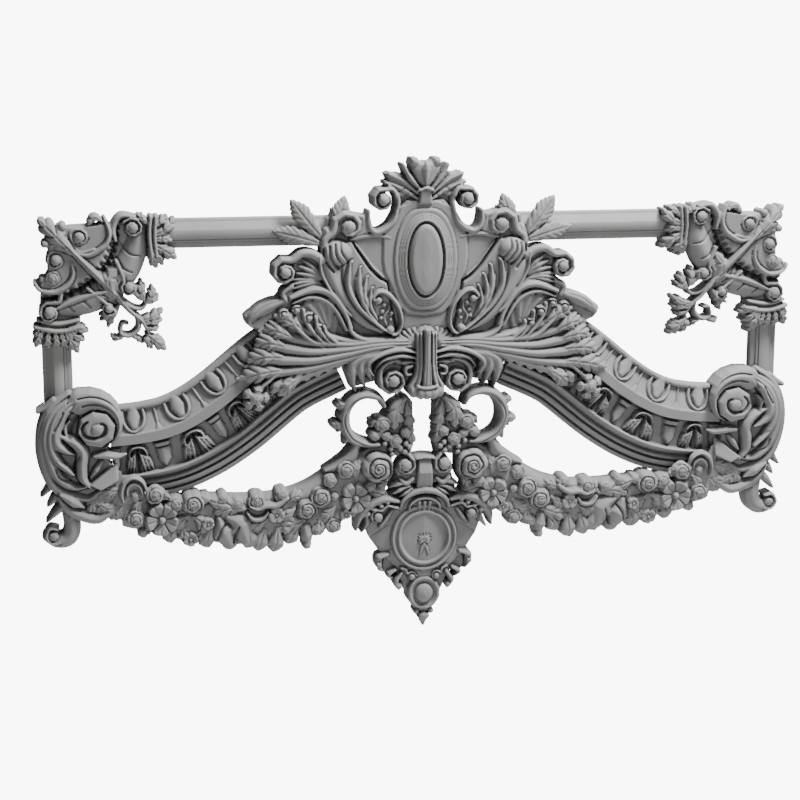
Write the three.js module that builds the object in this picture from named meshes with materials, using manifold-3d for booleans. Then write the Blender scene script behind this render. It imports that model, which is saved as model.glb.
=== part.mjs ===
// A built-up carved onlay for a bed head or overmantel: frame mouldings, S-shaped pediment arms,
// a crowned cartouche, corner ornaments, volutes, flower swags and a pendant, flat behind.
// Millimetres, +Z up. The back lies in the plane y = 0 and the carving faces -Y.
// The right half is drawn, with x as the distance from the middle, and mirrored for the left.
import * as THREE from "three";
import { mergeVertices } from "three/addons/utils/BufferGeometryUtils.js";
import Module from "manifold-3d";

// Driving dimensions, in millimetres
const FRAME_HALF_WIDTH = 803;
const FRAME_TOP = 343;
const MOULDING_WIDTH = 61;
const MOULDING_DEPTH = 30;
const RAIL_START = 192;
const COLLAR_SETBACK = 233;
const POST_COLLAR_DROP = 225;
const POST_LENGTH = 166;
const ARM_START = 253;
const ARM_SETBACK = 128;
const ARM_WIDTH = 206;
const ARM_DEPTH = 44;
const ARM_LOW = -48;
const OVAL_HALF_WIDTH = 37;
const OVAL_HALF_HEIGHT = 77;
const OVAL_RING_WIDTH = 31;
const PENDANT_OVAL = 72;
const PLATE_DEPTH = 32;
const VOLUTE_PLATE_DEPTH = 42;
const CARTOUCHE_DEPTH = 38;
const GARLAND_DEPTH = 42;
const GARLAND_START = 200;
const GARLAND_SETBACK = 153;
const GARLAND_HANG = 8;
const CLASP_FOOT = -48;
const EGG_START = 148;
const EGG_PITCH = 84;
const EGG_HALF_WIDTH = 19;
const LEAF_PITCH = 57;
const SCROLL_TIGHTENING = 0.08;
const VOLUTE_TIGHTENING = 0.23;
const CLEARANCE = 0.3;

// Places that follow from them
const RAIL_END = FRAME_HALF_WIDTH - COLLAR_SETBACK;
const POST_TOP = FRAME_TOP - POST_COLLAR_DROP;
const POST_BOTTOM = POST_TOP - POST_LENGTH;
const ARM_END = FRAME_HALF_WIDTH - ARM_SETBACK;
const OVER_MOULDING = MOULDING_DEPTH + CLEARANCE;
const OVER_ARM = ARM_DEPTH + CLEARANCE;
const BEYOND = 200;

// Outlines that keep the ornaments next to each other apart; the volute's goes with the frame's side
const VOLUTE_FIELD = [[-170, 30], [-170, -216], [-155, -224], [-151, -400], [157, -400], [157, 30]]
  .map(([x, z]) => [x + FRAME_HALF_WIDTH, z]);
const PENDANT_FIELD = [
  [-200, -176], [70, -176], [70, -258], [152, -308], [190, -400], [190, -700], [-200, -700],
];

const wasm = await Module();
wasm.setup();

// Closed triangle mesh to solid, turned outside out where its faces point in.
function solid(geometry) {
  geometry.deleteAttribute("normal");
  geometry.deleteAttribute("uv");
  const merged = mergeVertices(geometry, 1e-3);
  const p = merged.attributes.position.array;
  const index = merged.index.array;
  const faces = [];
  let volume = 0;
  for (let i = 0; i < index.length; i += 3) {
    const [a, b, c] = index.slice(i, i + 3);
    if (a === b || b === c || c === a) continue;
    faces.push([a, b, c]);
    const [A, B, C] = [a, b, c].map((k) => new THREE.Vector3(...p.slice(3 * k, 3 * k + 3)));
    volume += A.dot(B.cross(C));
  }
  const triVerts = new Uint32Array(faces.flatMap(([a, b, c]) => (volume > 0 ? [a, b, c] : [a, c, b])));
  return new wasm.Manifold(new wasm.Mesh({ numProp: 3, vertProperties: new Float32Array(p), triVerts }));
}

const join = (solids) => solids.reduce((all, next) => all.add(next));

// Solid through rings of equally many [x, z, height] points, capped at both ends.
function loft(rings) {
  const n = rings[0].length;
  const faces = [];
  for (let r = 0; r + 1 < rings.length; r++)
    for (let i = 0; i < n; i++) {
      const [a, b] = [r * n + i, r * n + ((i + 1) % n)];
      faces.push(a, b, b + n, a, b + n, a + n);
    }
  const last = (rings.length - 1) * n;
  for (let i = 1; i + 1 < n; i++) faces.push(0, i + 1, i, last, last + i, last + i + 1);
  const points = rings.flat().flatMap(([x, z, h]) => [x, -h, z]);
  const geometry = new THREE.BufferGeometry();
  geometry.setAttribute("position", new THREE.Float32BufferAttribute(points, 3));
  geometry.setIndex(faces);
  return solid(geometry);
}

// Smooth path through [x, z] points: its samples, each with the direction square to it.
function along(path, steps) {
  const curve = new THREE.SplineCurve(path.map(([x, z]) => new THREE.Vector2(x, z)));
  return Array.from({ length: steps + 1 }, (_, i) => {
    const t = i / steps;
    const at = curve.getPoint(t);
    const way = curve.getTangent(t);
    return { t, x: at.x, z: at.y, nx: -way.y, nz: way.x };
  });
}

// Prism over an outline, from the height `from` up to the height `to`.
function plate(to, outline, from = 0) {
  const shape = new THREE.Shape(outline.map(([x, z]) => new THREE.Vector2(x, z)));
  const geometry = new THREE.ExtrudeGeometry(shape, { depth: to - from, bevelEnabled: false });
  geometry.rotateX(Math.PI / 2);
  geometry.translate(0, -from, 0);
  return solid(geometry);
}

const box = (x0, x1, z0, z1, to, from) => plate(to, [[x0, z0], [x1, z0], [x1, z1], [x0, z1]], from);

// Round or faceted boss, turned from [radius, height] steps.
function turned(x, z, steps, sides, turn = 0, stretch = 1) {
  const closing = steps.at(-1)[0] > 0 ? [[0, steps.at(-1)[1]]] : [];
  const profile = [[0, steps[0][1]], ...steps, ...closing].map(([r, h]) => new THREE.Vector2(r, h));
  const geometry = new THREE.LatheGeometry(profile, sides, turn);
  geometry.rotateX(Math.PI);
  geometry.scale(1, 1, stretch);
  geometry.translate(x, 0, z);
  return solid(geometry);
}

// Boss closed by a point or a small flat on top, from its ground up.
const dome = (x, z, r, h, sides = 6, ground = 0) =>
  turned(x, z, [[r, ground], [0.94 * r, h - 0.5 * r], [0.3 * r, h]], sides, 0.3);

// Ridge of a three-sided section along a path, [half width, height] given by how far along it is.
function ridge(path, steps, ground, size) {
  return loft(
    along(path, steps).map(({ t, x, z, nx, nz }) => {
      const [w, h] = size(t);
      return [[-w, ground], [w, ground], [0, h]].map(([u, up]) => [x + nx * u, z + nz * u, up]);
    }),
  );
}

// Strap: a flat-topped ridge with sloping sides along a path, tapering from one width to the other.
function strap(path, width, h0, h1 = h0, steps = path.length, ground = 0, endWidth = width) {
  return loft(
    along(path, steps).map(({ t, x, z, nx, nz }) => {
      const w = (width + (endWidth - width) * t) / 2;
      const h = h0 + (h1 - h0) * t;
      return [[-w, ground], [w, ground], [0.5 * w, h], [-0.5 * w, h]]
        .map(([u, up]) => [x + nx * u, z + nz * u, up]);
    }),
  );
}

// Rib of one width.
const rib = (path, width, h0, h1 = h0, steps = path.length, ground = 0) =>
  ridge(path, steps, ground, (t) => [width / 2, h0 + (h1 - h0) * t]);

// Leaf swelling from its root and running to a point, ridged along its middle.
const leaf = (path, width, h0, h1, ground = 0, steps = 2) =>
  ridge(path, steps, ground, (t) => [
    (width / 2) * Math.max(0.1, Math.sin(Math.PI * (0.22 + 0.76 * t))),
    h0 + (h1 - h0) * t,
  ]);

// Volute: rings of [share of the radius, height share] round its eye, drawn in as the turn winds in.
function volute(x, z, r, h, start, way, sides = 6, tightening = SCROLL_TIGHTENING) {
  const steps = [[1, 0], [0.9, 0.95], [0.5, 0.74], [0.2, 1]];
  return loft(
    steps.map(([share, up]) =>
      Array.from({ length: sides }, (_, i) => {
        const a = (2 * Math.PI * i) / sides;
        const radius = share * r * Math.exp(-tightening * a);
        return [x + radius * Math.cos(start + way * a), z + radius * Math.sin(start + way * a), up * h];
      }),
    ),
  );
}

// Scroll end: a disc with its eye, drawn off centre as the turns wind in.
function snail(x, z, r, h, turn = 0, ground = 0) {
  const [dx, dz] = [Math.cos(turn), Math.sin(turn)];
  return join([
    turned(x, z, [[r, ground], [0.85 * r, h - 0.3 * r]], 6, turn),
    turned(x + 0.16 * r * dx, z + 0.16 * r * dz, [[0.5 * r, h - 0.4 * r], [0, h]], 4, turn),
  ]);
}

// Rose: petals spreading round a raised heart.
const rose = (x, z, r, h, turn = 0, ground = 0) =>
  turned(x, z, [[r, ground], [0.9 * r, h - 0.3 * r], [0, h]], r > 20 ? 6 : 5, turn);

const bud = (x, z, r, h, turn = 0, ground = 0) => turned(x, z, [[r, ground], [0, h]], 5, turn);

// The outline pushed outwards by a distance, for cutting with clearance.
function grown(outline, by) {
  const turnsLeft = THREE.ShapeUtils.area(outline.map(([x, z]) => ({ x, y: z }))) > 0 ? 1 : -1;
  return outline.map(([x, z], i) => {
    const [px, pz] = outline.at(i - 1);
    const [qx, qz] = outline[(i + 1) % outline.length];
    const a = new THREE.Vector2(z - pz, px - x).normalize();
    const b = new THREE.Vector2(qz - z, x - qx).normalize();
    const k = (turnsLeft * by) / (1 + a.dot(b));
    return [x + (a.x + b.x) * k, z + (a.y + b.y) * k];
  });
}

// The left-hand copy of a solid of the right-hand side.
function mirrored(right) {
  const mesh = right.getMesh();
  const vertProperties = mesh.vertProperties.map((value, i) => (i % mesh.numProp === 0 ? -value : value));
  const triVerts = mesh.triVerts.map((_, i, all) => all[i - (i % 3) + 2 - (i % 3)]);
  return new wasm.Manifold(new wasm.Mesh({ numProp: mesh.numProp, vertProperties, triVerts }));
}

// Frame moulding: [distance from the outer edge, height] round its section.
const frameSection = [
  [0, 0], [0, 0.55], [0.11, 0.55], [0.38, 1], [0.7, 1],
  [0.72, 0.86], [0.8, 0.86], [0.82, 0.72], [1, 0.72], [1, 0],
].map(([across, up]) => [across * MOULDING_WIDTH, up * MOULDING_DEPTH]);

const rail = loft([RAIL_START, RAIL_END].map((x) => frameSection.map(([u, h]) => [x, FRAME_TOP - u, h])));
const post = loft(
  [POST_TOP, POST_BOTTOM].map((z) => frameSection.map(([u, h]) => [FRAME_HALF_WIDTH - u, z, h])),
);

// Room that the run mouldings need in the ornaments laid over them
const railRoom = box(
  RAIL_START - CLEARANCE, RAIL_END + CLEARANCE,
  FRAME_TOP - MOULDING_WIDTH - CLEARANCE, FRAME_TOP + CLEARANCE, OVER_MOULDING, -1,
);
const postRoom = box(
  FRAME_HALF_WIDTH - MOULDING_WIDTH - CLEARANCE, FRAME_HALF_WIDTH + CLEARANCE,
  POST_BOTTOM - CLEARANCE, POST_TOP + CLEARANCE, OVER_MOULDING, -1,
);

// Pediment arm: an ogee, drawn by its top edge from under the cartouche to behind the volute.
const armEdge = [[0, 158], [0.265, 103], [0.54, 12], [0.7, -28], [0.83, -42], [1, ARM_LOW]]
  .map(([share, z]) => new THREE.Vector2(ARM_START + share * (ARM_END - ARM_START), z));
const armCurve = new THREE.SplineCurve(armEdge);
const armLength = armCurve.getLength();
const armSection = [
  [0, 0], [0, 0.62], [0.06, 0.66], [0.07, 0.5], [0.29, 0.86], [0.3, 1], [0.4, 1], [0.41, 0.5], [0.73, 0.6],
  [0.74, 0.84], [0.81, 0.5], [0.87, 0.64], [0.95, 0.56], [1, 0.34], [1, 0],
].map(([across, up]) => [across * ARM_WIDTH, up * ARM_DEPTH]);

// The point at a length along the arm's top edge and a distance down from it.
function onArm(length, down) {
  const t = THREE.MathUtils.clamp(length / armLength, 0, 1);
  const past = length - t * armLength;
  const at = armCurve.getPointAt(t);
  const way = armCurve.getTangentAt(t);
  return [at.x + way.x * past + way.y * down, at.y + way.y * past - way.x * down];
}

const armSteps = Array.from({ length: 11 }, (_, i) => (armLength * i) / 10);
const armBody = loft(armSteps.map((s) => armSection.map(([down, h]) => [...onArm(s, down), h])));
const [nearEdge, farEdge] = [-CLEARANCE, ARM_WIDTH + CLEARANCE];
const armRoom = loft(
  [-CLEARANCE, ...armSteps.slice(1, -1), armLength + CLEARANCE].map((s) =>
    [[nearEdge, -1], [nearEdge, OVER_ARM], [farEdge, OVER_ARM], [farEdge, -1]]
      .map(([down, h]) => [...onArm(s, down), h]),
  ),
);

function arm() {
  const parts = [armBody];
  const egg = EGG_HALF_WIDTH;
  const cove = 0.82 * ARM_DEPTH;
  for (let s = EGG_START; s < armLength - EGG_PITCH / 2; s += EGG_PITCH) {
    const [x, z] = onArm(s, 0.185 * ARM_WIDTH);
    parts.push(turned(x, z, [[egg, 26], [0, cove + 6]], 6, 0.5, 1.3));
    const dart = [onArm(s + EGG_PITCH / 2, 0.3 * ARM_WIDTH), onArm(s + EGG_PITCH / 2, 0.08 * ARM_WIDTH)];
    parts.push(leaf(dart, 12, cove + 2, 30, 16, 1));
  }
  const [top, middle, foot] = [0.42 * ARM_WIDTH, 0.56 * ARM_WIDTH, 0.72 * ARM_WIDTH];
  for (let s = EGG_START + LEAF_PITCH / 2, i = 0; s < armLength - 10; s += LEAF_PITCH, i++) {
    const lobe = (side) =>
      [[3, top], [19, middle], [14, foot]].map(([off, down]) => onArm(s + side * off, down));
    if (i % 2 === 0) parts.push(...[-1, 1].map((side) => leaf(lobe(side), 26, 42, 36, 18)));
    else parts.push(leaf([onArm(s, top), onArm(s, foot)], 26, 36, 34, 18, 2));
  }
  return join(parts);
}

// Elliptical rings, each [growth beyond the oval, height].
function ovalRings(z, halfWidth, halfHeight, steps, sides = 16) {
  return loft(
    steps.map(([growth, h]) =>
      Array.from({ length: sides }, (_, i) => {
        const a = (2 * Math.PI * i) / sides;
        return [(halfWidth + growth) * Math.cos(a), z + (halfHeight + growth) * Math.sin(a), h];
      }),
    ),
  );
}

// Cartouche, right half: crown, scrolls, shield, acanthus fan, clasp and sprig
function cartoucheHalf() {
  const ground = CARTOUCHE_DEPTH - 2;
  return join([
    plate(CARTOUCHE_DEPTH, [
      [-4, 442], [46, 428], [68, 402], [64, 352], [80, 324], [104, 307], [124, 324], [160, 326],
      [207, 300], [222, 262], [238, 212], [300, 200], [345, 158], [366, 112], [230, 60],
      [163, -27], [110, -12], [-4, -26],
    ]),
    // Crown: bud, petal, flat tip and scroll
    leaf([[6, 396], [16, 434], [25, 465]], 40, 54, 46, ground, 2),
    leaf([[26, 392], [42, 425], [50, 450]], 32, 52, 46, ground, 2),
    plate(44, [[40, 405], [50, 431], [86, 432], [79, 416], [86, 402], [64, 388]]),
    volute(91, 376, 30, 68, 2.2, -1),
    strap([[66, 356], [74, 330], [100, 314], [118, 328], [121, 353]], 14, 48, 44, 5),
    // Shoulder scroll and ridged bud
    volute(165, 319, 38, 62, -0.7, 1),
    turned(188, 267, [[30, 0], [30, 48], [12, 64]], 6, 0, 0.9),
    // Sprig over the rail
    leaf([[204, 286], [184, 335], [167, 391]], 40, 50, 40, OVER_MOULDING, 3),
    leaf([[210, 290], [250, 338], [286, 383]], 42, 50, 40, OVER_MOULDING, 3),
    leaf([[212, 284], [268, 300], [326, 316]], 38, 50, 40, OVER_MOULDING, 3),
    // Shield edges and the acanthus inside them
    rib([[160, 294], [140, 264], [116, 230], [80, 204]], 16, 54, 52, 2, ground),
    rib([[222, 262], [222, 226], [200, 186], [160, 135]], 20, 56, 58, 3, ground),
    leaf([[106, 112], [160, 138], [174, 192], [150, 250]], 54, 50, 68, ground, 4),
    leaf([[96, 118], [128, 145], [142, 190], [130, 230]], 30, 58, 56, ground),
    rib([[104, 168], [86, 183], [58, 155], [56, 116], [72, 92], [84, 106]], 18, 62, 62, 6, ground),
    // Shell, lower volute with the curled leaf over it, and hanging leaf
    leaf([[14, 66], [46, 80], [84, 84]], 20, 62, 54, ground, 2),
    leaf([[14, 80], [38, 98], [62, 104]], 18, 62, 52, ground, 2),
    volute(68, -9, 36, 68, 0.1, -1),
    rib([[16, 44], [60, 60], [104, 46], [122, 20], [106, -4]], 28, 70, 62, 4, ground),
    leaf([[92, 60], [142, 46], [150, -27]], 48, 66, 54, 20),
    bud(196, 27, 26, 66),
    // Acanthus fan over the arm
    leaf([[180, 140], [202, 184], [244, 194], [287, 170]], 44, 60, 58, ground, 3),
    leaf([[176, 128], [232, 160], [306, 148]], 48, 60, 56, ground),
    leaf([[172, 92], [262, 116], [350, 94]], 54, 66, 56, ground),
    leaf([[168, 66], [272, 74], [380, 42]], 52, 70, 56, ground),
    leaf([[166, 42], [284, 32], [404, 4]], 48, 66, 54, ground),
    leaf([[318, 26], [352, -18]], 26, 62, 60, ground, 1),
    rose(364, -34, 29, 70, 0, ground),
    bud(304, 143, 14, 64, 0, ground),
    // Outer scroll with its neck and ear
    volute(292, 236, 42, 70, 2.2, -1),
    rib([[222, 254], [248, 270], [280, 272]], 30, 56, 62, 2, 10),
    leaf([[316, 172], [350, 154], [388, 128]], 50, 56, 46, 24, 2),
  ]);
}

function cartouche() {
  // Between the clasp and the arm nothing hangs below the scrolls
  const hangings = box(105, 212, -90, CLASP_FOOT + 21, BEYOND, -1);
  const half = cartoucheHalf().subtract(railRoom).subtract(armRoom).subtract(hangings);
  const w = OVAL_RING_WIDTH;
  const ground = CARTOUCHE_DEPTH - 2;
  const oval = ovalRings(250, OVAL_HALF_WIDTH, OVAL_HALF_HEIGHT, [
    [w, ground], [0.85 * w, 56], [0.55 * w, 50], [0.35 * w, 62], [0, 50], [-16, 60],
  ]);
  return join([
    half,
    mirrored(half),
    oval,
    plate(54, [[-14, 370], [14, 370], [12, 404], [-12, 404]], ground),
    plate(72, [[-20, -26], [20, -26], [20, 92], [11, 105], [-11, 105], [-20, 92]], ground),
    strap([[0, 98], [0, -40]], 18, 86, 80, 1, ground),
    plate(62, [[-24, CLASP_FOOT], [24, CLASP_FOOT], [20, -20], [-20, -20]]),
  ]);
}

// Corner ornament, measured from the frame's outer corner
function corner() {
  const ground = PLATE_DEPTH - 2;
  const back = 8;
  const parts = [
    plate(PLATE_DEPTH, [
      [-232, 2], [-163, -1], [-151, -13], [-63, -17], [-25, -17], [-15, -43], [-23, -58],
      [-17, -123], [-3, -153], [3, -231], [-75, -231], [-79, -198], [-121, -178], [-163, -177],
      [-185, -121], [-203, -81], [-232, -75],
    ]),
    // Diagonal rib and corner leaf
    leaf([[-61, -47], [-31, -21], [1, 9]], 48, 54, 40, ground),
    rib([[-46, -34], [-167, -168]], 24, 56, 48, 1, 20),
    bud(-49, -12, 12, 46, 0),
    bud(-15, -44, 12, 46, 1),
    // Scrolls and the bowls between them
    snail(-84, -33, 23, 52, 2, 20),
    snail(-35, -78, 22, 52, 5),
    snail(-190, -13, 25, 48, 1),
    snail(-181, -139, 20, 48, 4),
    snail(-139, -181, 18, 46, 3),
    snail(-21, -187, 28, 50, 0),
    rib([[-127, 5], [-139, -25], [-121, -59], [-65, -57]], 22, 50, 48, 3),
    rib([[-65, -81], [-67, -117], [-41, -139], [3, -129]], 22, 50, 44, 3),
    leaf([[-171, -25], [-199, -51], [-203, -87]], 28, 46, 42, ground, 2),
    leaf([[-199, -81], [-177, -107], [-163, -153]], 26, 42, 42, ground, 2),
    leaf([[-113, -107], [-141, -81], [-153, -39]], 30, 48, 44, ground, 2),
    leaf([[-109, -113], [-73, -135], [-31, -155]], 30, 48, 44, ground, 2),
    // Collar over the end of the rail
    box(-245, -225, -79, 10, 48),
    leaf([[-229, -55], [-257, -69], [-282, -81]], 32, 48, 38, ground, 2),
    leaf([[-235, -67], [-240, -101]], 26, 46, 38, ground, 2),
    leaf([[-229, -21], [-253, -9], [-274, 10]], 34, 48, 38, ground, 2),
    leaf([[-227, -7], [-203, 14]], 26, 46, 36, ground, 1),
    // Collar over the top of the post
    box(-81, 8, -233, -209, 46),
    leaf([[-61, -221], [-76, -276]], 32, 48, 38, ground, 2),
    leaf([[-37, -221], [-45, -267]], 34, 48, 38, ground, 2),
    leaf([[-7, -221], [1, -261]], 34, 48, 38, ground, 2),
    // Hanging sprig: stem, branch, curled end and leaves
    rib([[-161, -165], [-197, -203], [-229, -255]], 14, 42, 33, 2, back),
    rib([[-167, -169], [-195, -183], [-217, -167]], 14, 42, 35, 2, back),
    rib([[-201, -205], [-191, -233], [-167, -239], [-163, -217]], 14, 38, 36, 4, back),
    leaf([[-163, -173], [-143, -201], [-115, -193]], 20, 38, 32, back, 2),
    leaf([[-213, -173], [-223, -157], [-227, -135]], 20, 36, 31, back, 2),
    leaf([[-215, -173], [-201, -151], [-206, -121]], 22, 36, 31, back, 2),
    leaf([[-203, -211], [-229, -205], [-254, -185]], 28, 36, 31, back, 2),
    leaf([[-219, -237], [-239, -255], [-258, -274]], 26, 36, 31, back, 2),
    leaf([[-143, -197], [-141, -231]], 18, 35, 31, back, 1),
    leaf([[-179, -237], [-207, -253]], 16, 34, 31, back, 1),
  ];
  return join(parts)
    .translate([FRAME_HALF_WIDTH, 0, FRAME_TOP])
    .subtract(railRoom)
    .subtract(postRoom);
}

// Volute with its flowing leaves, drapery and scroll foot, measured from the frame's side
function sideVolute() {
  const ground = VOLUTE_PLATE_DEPTH - 2;
  const parts = [
    volute(-104, -90, 125, 68, -0.3, 1, 11, VOLUTE_TIGHTENING),
    plate(VOLUTE_PLATE_DEPTH, [
      [-97, -30], [-27, -40], [-3, -80], [3, -140], [-11, -205], [-27, -270],
      [-63, -290], [-139, -288], [-147, -230], [-153, -130], [-143, -60],
    ]),
    rib([[-3, -66], [3, -130], [-11, -200], [-37, -262]], 44, 60, 50, 4),
    rib([[-31, -60], [-19, -120], [-31, -190], [-55, -250]], 34, 68, 54, 4, ground),
    rib([[-59, -84], [-45, -124], [-55, -180], [-79, -236]], 34, 66, 54, 3, ground),
    leaf([[-37, -140], [-19, -160], [-25, -192]], 24, 68, 58, ground, 2),
    leaf([[-151, -138], [-97, -150]], 22, 58, 54, ground, 2),
    plate(54, [[-141, -160], [-81, -152], [-83, -212], [-135, -208]], ground),
    leaf([[-107, -212], [-65, -246], [-25, -226]], 40, 60, 50, ground),
    bud(-55, -254, 16, 54),
    leaf([[-113, -258], [-145, -295]], 34, 46, 38, 24, 2),
    leaf([[-85, -258], [-93, -297]], 32, 46, 38, 24, 2),
    leaf([[-13, -204], [13, -233]], 20, 42, 34, 20, 1),
    leaf([[-27, -258], [2, -288]], 20, 42, 34, 20, 1),
    // Scroll foot
    strap([[-27, -232], [-47, -280], [-49, -314], [-25, -331], [1, -324]], 38, 44, 40, 6, 0, 30),
    dome(-5, -324, 19, 44),
  ];
  return join(parts)
    .translate([FRAME_HALF_WIDTH, 0, 0])
    .intersect(plate(BEYOND, VOLUTE_FIELD))
    .subtract(armRoom)
    .subtract(postRoom);
}

// Swag: drop, curled strap and the garland out to the volute
function swag() {
  const hanging = [
    [78, -226], [140, -262], [230, -296], [350, -306], [470, -300], [560, -284], [650, -262],
  ];
  // Beyond the drop the garland stretches to the volute and sinks with the foot of the arm
  const [endX, endZ] = hanging.at(-1);
  const stretch = (FRAME_HALF_WIDTH - GARLAND_SETBACK - GARLAND_START) / (endX - GARLAND_START);
  const sink = ARM_LOW - ARM_WIDTH - GARLAND_HANG - endZ;
  const at = ([x, z]) => {
    const past = Math.max(0, x - GARLAND_START);
    return [x + past * (stretch - 1), z + (sink * past) / (endX - GARLAND_START)];
  };
  const path = (points) => points.map(at);
  const run = along(path(hanging), 8);
  const body = loft(
    run.map(({ t, x, z, nx, nz }) => {
      const w = 34 + 24 * Math.sin(Math.PI * Math.min(1, 0.12 + t));
      return [[-w, 0], [w, 0], [0.8 * w, GARLAND_DEPTH], [-0.8 * w, GARLAND_DEPTH]]
        .map(([u, up]) => [x + nx * u, z + nz * u, up]);
    }),
  );
  const ground = 14;
  const flowers = [
    [104, -198, 36, 79], [172, -204, 21, 62], [212, -230, 20, 60], [236, -268, 22, 66],
    [152, -262, 34, 64], [278, -294, 24, 64], [200, -322, 22, 54], [312, -252, 20, 58],
    [366, -260, 26, 62], [438, -254, 24, 58], [504, -262, 26, 68], [470, -306, 24, 60],
    [584, -244, 26, 68], [562, -296, 38, 68], [628, -250, 22, 66],
  ];
  const buds = [[410, -290, 26, 60], [620, -290, 22, 64]];
  const leaves = [
    [[296, -322], [302, -366], 52], [[348, -322], [334, -383], 58], [[372, -322], [364, -381], 46],
    [[260, -322], [256, -381], 54], [[406, -318], [410, -373], 72], [[462, -322], [464, -367], 48],
    [[508, -322], [508, -360], 56], [[598, -300], [622, -325], 44],
  ];
  const parts = [
    body,
    plate(40, [
      [32, -46], [62, -46], [100, -80], [136, -114], [118, -150], [150, -172], [160, -240],
      [104, -250], [78, -236], [50, -176], [26, -176], [20, -150], [22, -100], [21, -62],
    ]),
    // Curled strap with its leaf tips, and the tail across the bunch
    strap(
      [[80, -62], [112, -46], [146, -43], [172, -66], [174, -100], [156, -134], [104, -148]],
      26, 58, 52, 9,
    ),
    leaf([[166, -54], [198, -60]], 22, 50, 42, 20, 1),
    leaf([[170, -99], [209, -100]], 24, 50, 42, 20, 1),
    rib([[146, -146], [162, -178], [200, -196]], 32, 52, 48, 2),
    // Leaf and roses of the drop
    leaf([[50, -50], [66, -78], [60, -130]], 44, 54, 56, 20),
    leaf([[34, -64], [36, -110], [34, -166]], 28, 50, 50, 38, 2),
    rose(94, -104, 19, 60, 0.4, 30),
    rose(66, -140, 18, 60, 0.9, 30),
    rose(112, -130, 16, 58, 0.2, 30),
    bud(46, -154, 13, 54, 0, 38),
    bud(84, -166, 13, 54, 0, 38),
    ...flowers.map(([x, z, r, h], i) => rose(...at([x, z]), r, h, 0.7 * i, ground)),
    ...buds.map(([x, z, r, h], i) => bud(...at([x, z]), r, h, 0.5 * i, ground)),
    ...leaves.map(([from, to, width]) => leaf(path([from, to]), width, 54, 38, 22, 2)),
  ];
  return join(parts)
    .subtract(armRoom)
    .subtract(plate(BEYOND, grown(PENDANT_FIELD, CLEARANCE), -1))
    .subtract(plate(BEYOND, grown(VOLUTE_FIELD, CLEARANCE), -1));
}

// Pendant: scroll block, shield with its oval ring, boss, curls and finial
function pendant() {
  const half = join([
    plate(PLATE_DEPTH, [
      [-4, -186], [50, -186], [60, -225], [72, -262], [100, -292], [122, -345], [118, -365],
      [90, -402], [96, -430], [60, -444], [40, -478], [30, -508], [10, -526], [-4, -526],
    ]),
    volute(40, -194, 29, 60, 1.6, 1),
    leaf([[52, -216], [60, -232], [77, -263]], 30, 56, 48, 24, 2),
    leaf([[66, -282], [116, -288], [152, -338]], 56, 56, 46, 20),
    leaf([[60, -270], [100, -272], [136, -300]], 26, 52, 46, 30, 2),
    snail(110, -316, 20, 54, 2, 30),
    leaf([[82, -396], [104, -418], [97, -441]], 34, 48, 40, 24, 2),
    leaf([[62, -436], [53, -480]], 26, 46, 40, 24, 1),
    bud(28, -450, 14, 48, 0, 30),
  ]).intersect(plate(BEYOND, PENDANT_FIELD));
  const rings = [[18, 30], [13, 54], [0, 38], [-18, 44]];
  const oval = ovalRings(-362, PENDANT_OVAL - 18, PENDANT_OVAL - 20, rings, 12);
  return join([
    half,
    mirrored(half),
    plate(58, [[-16, -244], [16, -244], [14, -178], [-14, -178]]),
    rib([[-44, -270], [0, -256], [44, -270]], 16, 56, 56, 2, 30),
    oval,
    leaf([[0, -398], [0, -338]], 26, 46, 52, 34, 2),
    turned(0, -487, [[38, 0], [36, 40], [22, 40], [0, 49]], 8),
    turned(0, -536, [[15, 0], [13, 38], [0, 47]], 6, 0, 1.1),
    leaf([[0, -530], [0, -567]], 26, 46, 38, 14, 1),
  ]);
}

// Matte paint over wood, the same on every piece
const primer = () => new THREE.MeshStandardMaterial({ color: 0x8f8f8d, roughness: 0.85, metalness: 0 });

const onlay = new THREE.Group();
function add(name, made) {
  const mesh = made.getMesh();
  const points = Array.from({ length: mesh.vertProperties.length / mesh.numProp }, (_, i) =>
    mesh.vertProperties.slice(i * mesh.numProp, i * mesh.numProp + 3),
  );
  const geometry = new THREE.BufferGeometry();
  geometry.setAttribute("position", new THREE.Float32BufferAttribute(points.flatMap((p) => [...p]), 3));
  geometry.setIndex([...mesh.triVerts]);
  geometry.computeVertexNormals();
  const node = new THREE.Mesh(geometry, primer());
  node.name = name;
  onlay.add(node);
}

add("cartouche", cartouche());
add("pendant", pendant());
const pairs = { top_rail: rail, post, arm: arm(), corner: corner(), volute: sideVolute(), swag: swag() };
for (const [name, right] of Object.entries(pairs)) {
  add(name + "_right", right);
  add(name + "_left", mirrored(right));
}

export default onlay;
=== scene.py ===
import math

import bmesh
import bpy
import numpy as np
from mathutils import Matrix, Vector
from mathutils.geometry import delaunay_2d_cdt


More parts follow.
